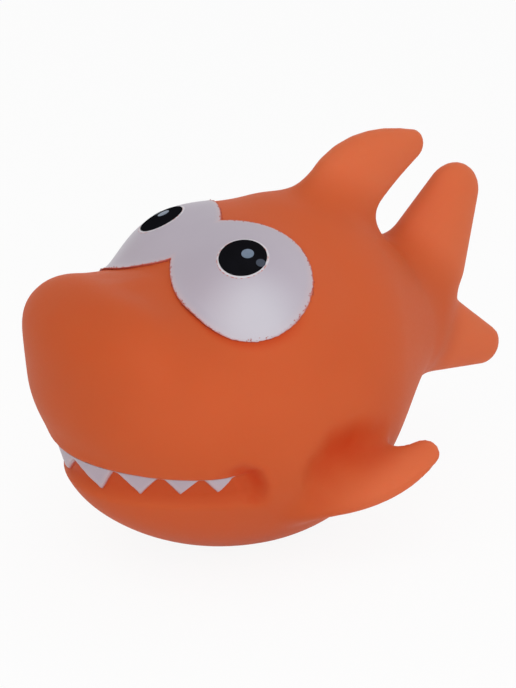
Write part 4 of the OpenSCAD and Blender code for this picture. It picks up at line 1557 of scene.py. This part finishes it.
@dataclass(frozen=True)
class EyeFinish(SprayFinish):
    """The sprayed white of the eyes, with a bare ring round each pupil and a dotted line off register."""

    ring: tuple[float, float, float] = (0.64, 0.61, 0.65)
    ring_mm: float = 0.5
    ring_fade: tuple[float, float] = (0.6, 1.3)
    whiter_color: tuple[float, float, float] = (0.54, 0.515, 0.575)
    print_mm: tuple[float, float] = (0.06, 0.16)
    dots_scale: float = 1400.0
    dots_span: tuple[float, float] = (0.45, 0.58)
    dots_share: float = 0.85

    def build(self) -> bpy.types.Material:
        """Makes the white.

        Returns:
            The new material.
        """
        material, t, shader, grain = self.start()
        halo = t.add("ShaderNodeAttribute", attribute_name="halo")
        slipped = t.add("ShaderNodeAttribute", attribute_name="slipped_line")
        heavy = t.add("ShaderNodeAttribute", attribute_name="heavy")
        place, dots = t.add("ShaderNodeTexCoord"), t.add("ShaderNodeTexNoise")
        dots.inputs["Scale"].default_value = self.dots_scale
        t.link(place.outputs["Object"], dots.inputs["Vector"])
        fade = (self.ring_fade[0] * self.ring_mm, self.ring_fade[1] * self.ring_mm)
        bare = t.span(halo.outputs["Fac"], fade, (1.0, 0.0))
        off = t.math("ABSOLUTE", slipped.outputs["Fac"])
        printed = t.span(dots.outputs["Fac"], self.dots_span, (0.0, self.dots_share))
        print_line = t.math("MULTIPLY", t.span(off, self.print_mm, (1.0, 0.0)), printed)
        # Whiter towards a point low on the front of each eye
        color = t.mix(heavy.outputs["Fac"], self.sprayed(t, grain), self.whiter_color)
        color = t.mix(bare, color, self.ring)
        t.link(t.mix(print_line, color, self.line), shader.inputs["Base Color"])
        return material


@dataclass(frozen=True)
class GlintFinish(Finish):
    """The printed glints: one clear and one faded."""

    faded: tuple[float, float, float] = (0.055, 0.067, 0.092)

    def build(self) -> bpy.types.Material:
        """Makes the print.

        Returns:
            The new material.
        """
        material, t, shader, grain = self.start()
        worn = t.add("ShaderNodeAttribute", attribute_name="faded")
        t.link(t.mix(worn.outputs["Fac"], self.drifted(t, grain), self.faded), shader.inputs["Base Color"])
        return material


@dataclass(frozen=True)
class Palette:
    """The finishes of the toy by the record's slot names, and one for the specks."""

    vinyl: Finish = VinylFinish(
        "soft_vinyl",
        color=(0.60, 0.108, 0.032),
        tint=(0.57, 0.098, 0.027),
        roughness=0.55,
        specular=0.08,
        drift_scale=18.0,
        grain_scale=1800.0,
        grain=0.03,
    )
    eye_paint: Finish = EyeFinish(
        "eye_spray",
        color=(0.46, 0.41, 0.475),
        tint=(0.44, 0.39, 0.455),
        roughness=0.4,
        drift_scale=40.0,
        grain_scale=3000.0,
    )
    pupil_paint: Finish = Finish(
        "pupil_gloss",
        color=(0.006, 0.006, 0.0075),
        tint=(0.007, 0.007, 0.009),
        roughness=0.3,
        specular=0.0,
        drift_scale=200.0,
        grain_scale=3000.0,
        grain=0.01,
    )
    glint_paint: Finish = GlintFinish(
        "glint_print",
        color=(0.18, 0.23, 0.31),
        tint=(0.16, 0.21, 0.28),
        roughness=0.3,
        specular=0.1,
        drift_scale=600.0,
        grain_scale=3000.0,
        grain=0.01,
    )
    tooth_paint: Finish = SprayFinish(
        "tooth_spray",
        color=(0.48, 0.40, 0.46),
        tint=(0.45, 0.37, 0.43),
        roughness=0.45,
        drift_scale=80.0,
        grain_scale=3000.0,
        line_mm=0.3,
        wander_mm=0.12,
    )
    stray_paint: Finish = Finish(
        "stray_specks",
        color=(0.46, 0.09, 0.06),
        tint=(0.38, 0.07, 0.045),
        specular=0.1,
        drift_scale=900.0,
        grain_scale=3000.0,
    )
    housing_plastic: Finish = Finish(
        "housing_natural",
        color=(0.74, 0.72, 0.65),
        tint=(0.69, 0.67, 0.60),
        roughness=0.42,
        drift_scale=60.0,
        grain_scale=4000.0,
        grain=0.03,
    )
    block_plastic: Finish = Finish(
        "block_grey",
        color=(0.62, 0.62, 0.64),
        tint=(0.57, 0.57, 0.59),
        roughness=0.4,
        drift_scale=80.0,
        grain_scale=4000.0,
        grain=0.03,
    )
    reed_plastic: Finish = Finish(
        "reed_strip",
        color=(0.26, 0.26, 0.28),
        tint=(0.22, 0.22, 0.24),
        roughness=0.35,
        drift_scale=120.0,
        grain_scale=5000.0,
    )

    def build(self) -> dict[str, bpy.types.Material]:
        """Makes every material, by slot name."""
        return {slot.name: getattr(self, slot.name).build() for slot in fields(self)}


@dataclass
class Squeaker:
    """The clip-in squeaker, whose own solids stay and take their finishes."""

    slots: tuple[tuple[str, str], ...] = (
        ("squeaker_housing", "housing_plastic"),
        ("reed_block", "block_plastic"),
        ("reed_tongue", "reed_plastic"),
    )

    def build(self, finishes: dict[str, bpy.types.Material]) -> None:
        """Puts each finish on its solid.

        Args:
            finishes: materials by slot name.
        """
        for node, slot in self.slots:
            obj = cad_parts[node]
            obj.data.materials.clear()
            obj.data.materials.append(finishes[slot])
            log.info("%s: takes %s", node, slot)


# Stage


@dataclass(frozen=True)
class Lamp:
    """A soft rectangular lamp, in metres and watts."""

    name: str
    place: tuple[float, float, float]
    aim: tuple[float, float, float]
    size: tuple[float, float]
    watts: float

    def build(self) -> None:
        """Hangs the lamp and turns it to its aim."""
        data = bpy.data.lights.new(self.name, "AREA")
        data.shape = "RECTANGLE"
        data.size, data.size_y = self.size
        data.energy = self.watts
        obj = add_object(self.name, data)
        obj.location = self.place
        obj.rotation_euler = (Vector(self.aim) - Vector(self.place)).to_track_quat("-Z", "Y").to_euler()


@dataclass
class Studio:
    """Plain white stage, soft light and the camera at the photograph's angle."""

    form: ToyForm
    azimuth_deg: float = -38.0
    elevation_deg: float = 23.6
    away: float = 700.0
    focal_px: float = 2870.0
    frame_px: tuple[int, int] = (516, 688)
    aim_level: tuple[float, float, float] = (0.0, 0.0, 52.0)
    aim_px: tuple[float, float] = (272.2, 342.9)
    level_light: float = 0.68
    overhead_light: float = 0.55
    bright_side: tuple[float, float, float] = (0.40, 0.14, 0.0)
    sensor_mm: float = 36.0
    clip_m: tuple[float, float] = (0.01, 20.0)
    floor_m: float = 6.0
    floor_color: tuple[float, float, float, float] = (0.9, 0.9, 0.9, 1.0)
    floor_white: float = 0.91
    white: tuple[float, float, float, float] = (1.0, 1.0, 1.0, 1.0)
    lamps: tuple[Lamp, ...] = (
        Lamp("top_lamp", (-0.45, -0.28, 0.8), (0.0, 0.0, 0.04), (0.9, 0.9), 3.1),
        Lamp("front_lamp", (-0.44, -0.84, 0.21), (0.0, 0.0, 0.045), (0.8, 0.3), 2.45),
    )

    def camera(self) -> None:
        """Makes the camera."""
        a, e = math.radians(self.azimuth_deg), math.radians(self.elevation_deg)
        back = np.array([math.sin(a) * math.cos(e), -math.cos(a) * math.cos(e), math.sin(e)])
        right = unit(np.cross([0.0, 0.0, 1.0], back))
        up = np.cross(back, right)
        off = (np.array(self.aim_px) - np.array(self.frame_px) / 2.0) * self.away / self.focal_px
        aim = self.form.stand(np.array(self.aim_level)) - right * off[0] + up * off[1]
        data = bpy.data.cameras.new("photo_camera")
        data.sensor_width = self.sensor_mm
        data.lens = self.focal_px / max(self.frame_px) * data.sensor_width
        data.clip_start, data.clip_end = self.clip_m
        obj = add_object("photo_camera", data)
        obj.location = Vector((aim + back * self.away) * MM)
        obj.rotation_euler = Vector(-back).to_track_quat("-Z", "Y").to_euler()
        bpy.context.scene.camera = obj

    def shown_white(
        self,
        t: Tree,
        lit: bpy.types.NodeSocket,
        white: bpy.types.NodeSocket,
        out: bpy.types.NodeSocket,
        share: float = 1.0,
    ) -> None:
        """Shows white to the camera and to reflections, and the lit surface to everything else.

        Args:
            t: tree that the nodes go into.
            lit: the lit surface.
            white: the white one.
            out: socket that takes the mix.
            share: how much of the white the camera sees; the rest is lit and keeps the shadow.
        """
        path = t.add("ShaderNodeLightPath")
        seen = t.math("ADD", path.outputs["Is Camera Ray"], path.outputs["Is Glossy Ray"], True)
        seen = t.math("ADD", seen, path.outputs["Is Transmission Ray"], True)
        seen = t.math("MULTIPLY", seen, share)
        mix = t.add("ShaderNodeMixShader")
        for value, socket in ((seen, mix.inputs[0]), (lit, mix.inputs[1]), (white, mix.inputs[2])):
            t.link(value, socket)
        t.link(mix.outputs[0], out)

    def sky(self) -> None:
        """Makes the white surroundings, which shine a little more from the sides than from above."""
        world = bpy.data.worlds.new("studio")
        world.use_nodes = True
        t = Tree(world.node_tree)
        t.tree.nodes.clear()
        lit, white = t.add("ShaderNodeBackground"), t.add("ShaderNodeBackground")
        lit.inputs["Color"].default_value = self.white
        way, split = t.add("ShaderNodeTexCoord"), t.add("ShaderNodeSeparateXYZ")
        t.link(way.outputs["Generated"], split.inputs[0])
        up = t.span(split.outputs["Z"], (0.0, 1.0), (self.level_light, self.overhead_light))
        lean = t.add("ShaderNodeVectorMath", operation="DOT_PRODUCT")
        t.link(way.outputs["Generated"], lean.inputs[0])
        lean.inputs[1].default_value = self.bright_side
        t.link(t.math("ADD", up, lean.outputs["Value"]), lit.inputs["Strength"])
        white.inputs["Color"].default_value = self.white
        out = t.add("ShaderNodeOutputWorld")
        self.shown_white(t, lit.outputs[0], white.outputs[0], out.inputs["Surface"])
        bpy.context.scene.world = world

    def floor(self) -> None:
        """Makes the pale floor, which keeps the toy's shadow."""
        bpy.ops.mesh.primitive_plane_add(size=self.floor_m, location=(0.0, 0.0, 0.0))
        obj = bpy.context.object
        obj.name = "studio_floor"
        material = bpy.data.materials.new("studio_floor")
        material.use_nodes = True
        t = Tree(material.node_tree)
        t.tree.nodes.clear()
        lit, white = t.add("ShaderNodeBsdfDiffuse"), t.add("ShaderNodeEmission")
        lit.inputs["Color"].default_value = self.floor_color
        out = t.add("ShaderNodeOutputMaterial")
        self.shown_white(t, lit.outputs[0], white.outputs[0], out.inputs["Surface"], self.floor_white)
        obj.data.materials.append(material)

    def build(self) -> None:
        """Sets the stage."""
        bpy.context.scene.view_settings.view_transform = "Standard"
        self.camera()
        self.sky()
        self.floor()
        for lamp in self.lamps:
            lamp.build()


def main() -> None:
    """Builds the toy and its stage, piece by piece."""
    logging.basicConfig(level=logging.INFO, format="%(name)s: %(message)s")
    form = ToyForm()
    finishes = Palette().build()
    Studio(form).build()
    VinylSkin(form).build(finishes["vinyl"])
    EyePaint(form).build(finishes)
    SprayFlecks(form).build(finishes["stray_paint"])
    ToothPaint(form).build(finishes["tooth_paint"])
    Squeaker().build(finishes)


if __name__ == "__main__":
    main()
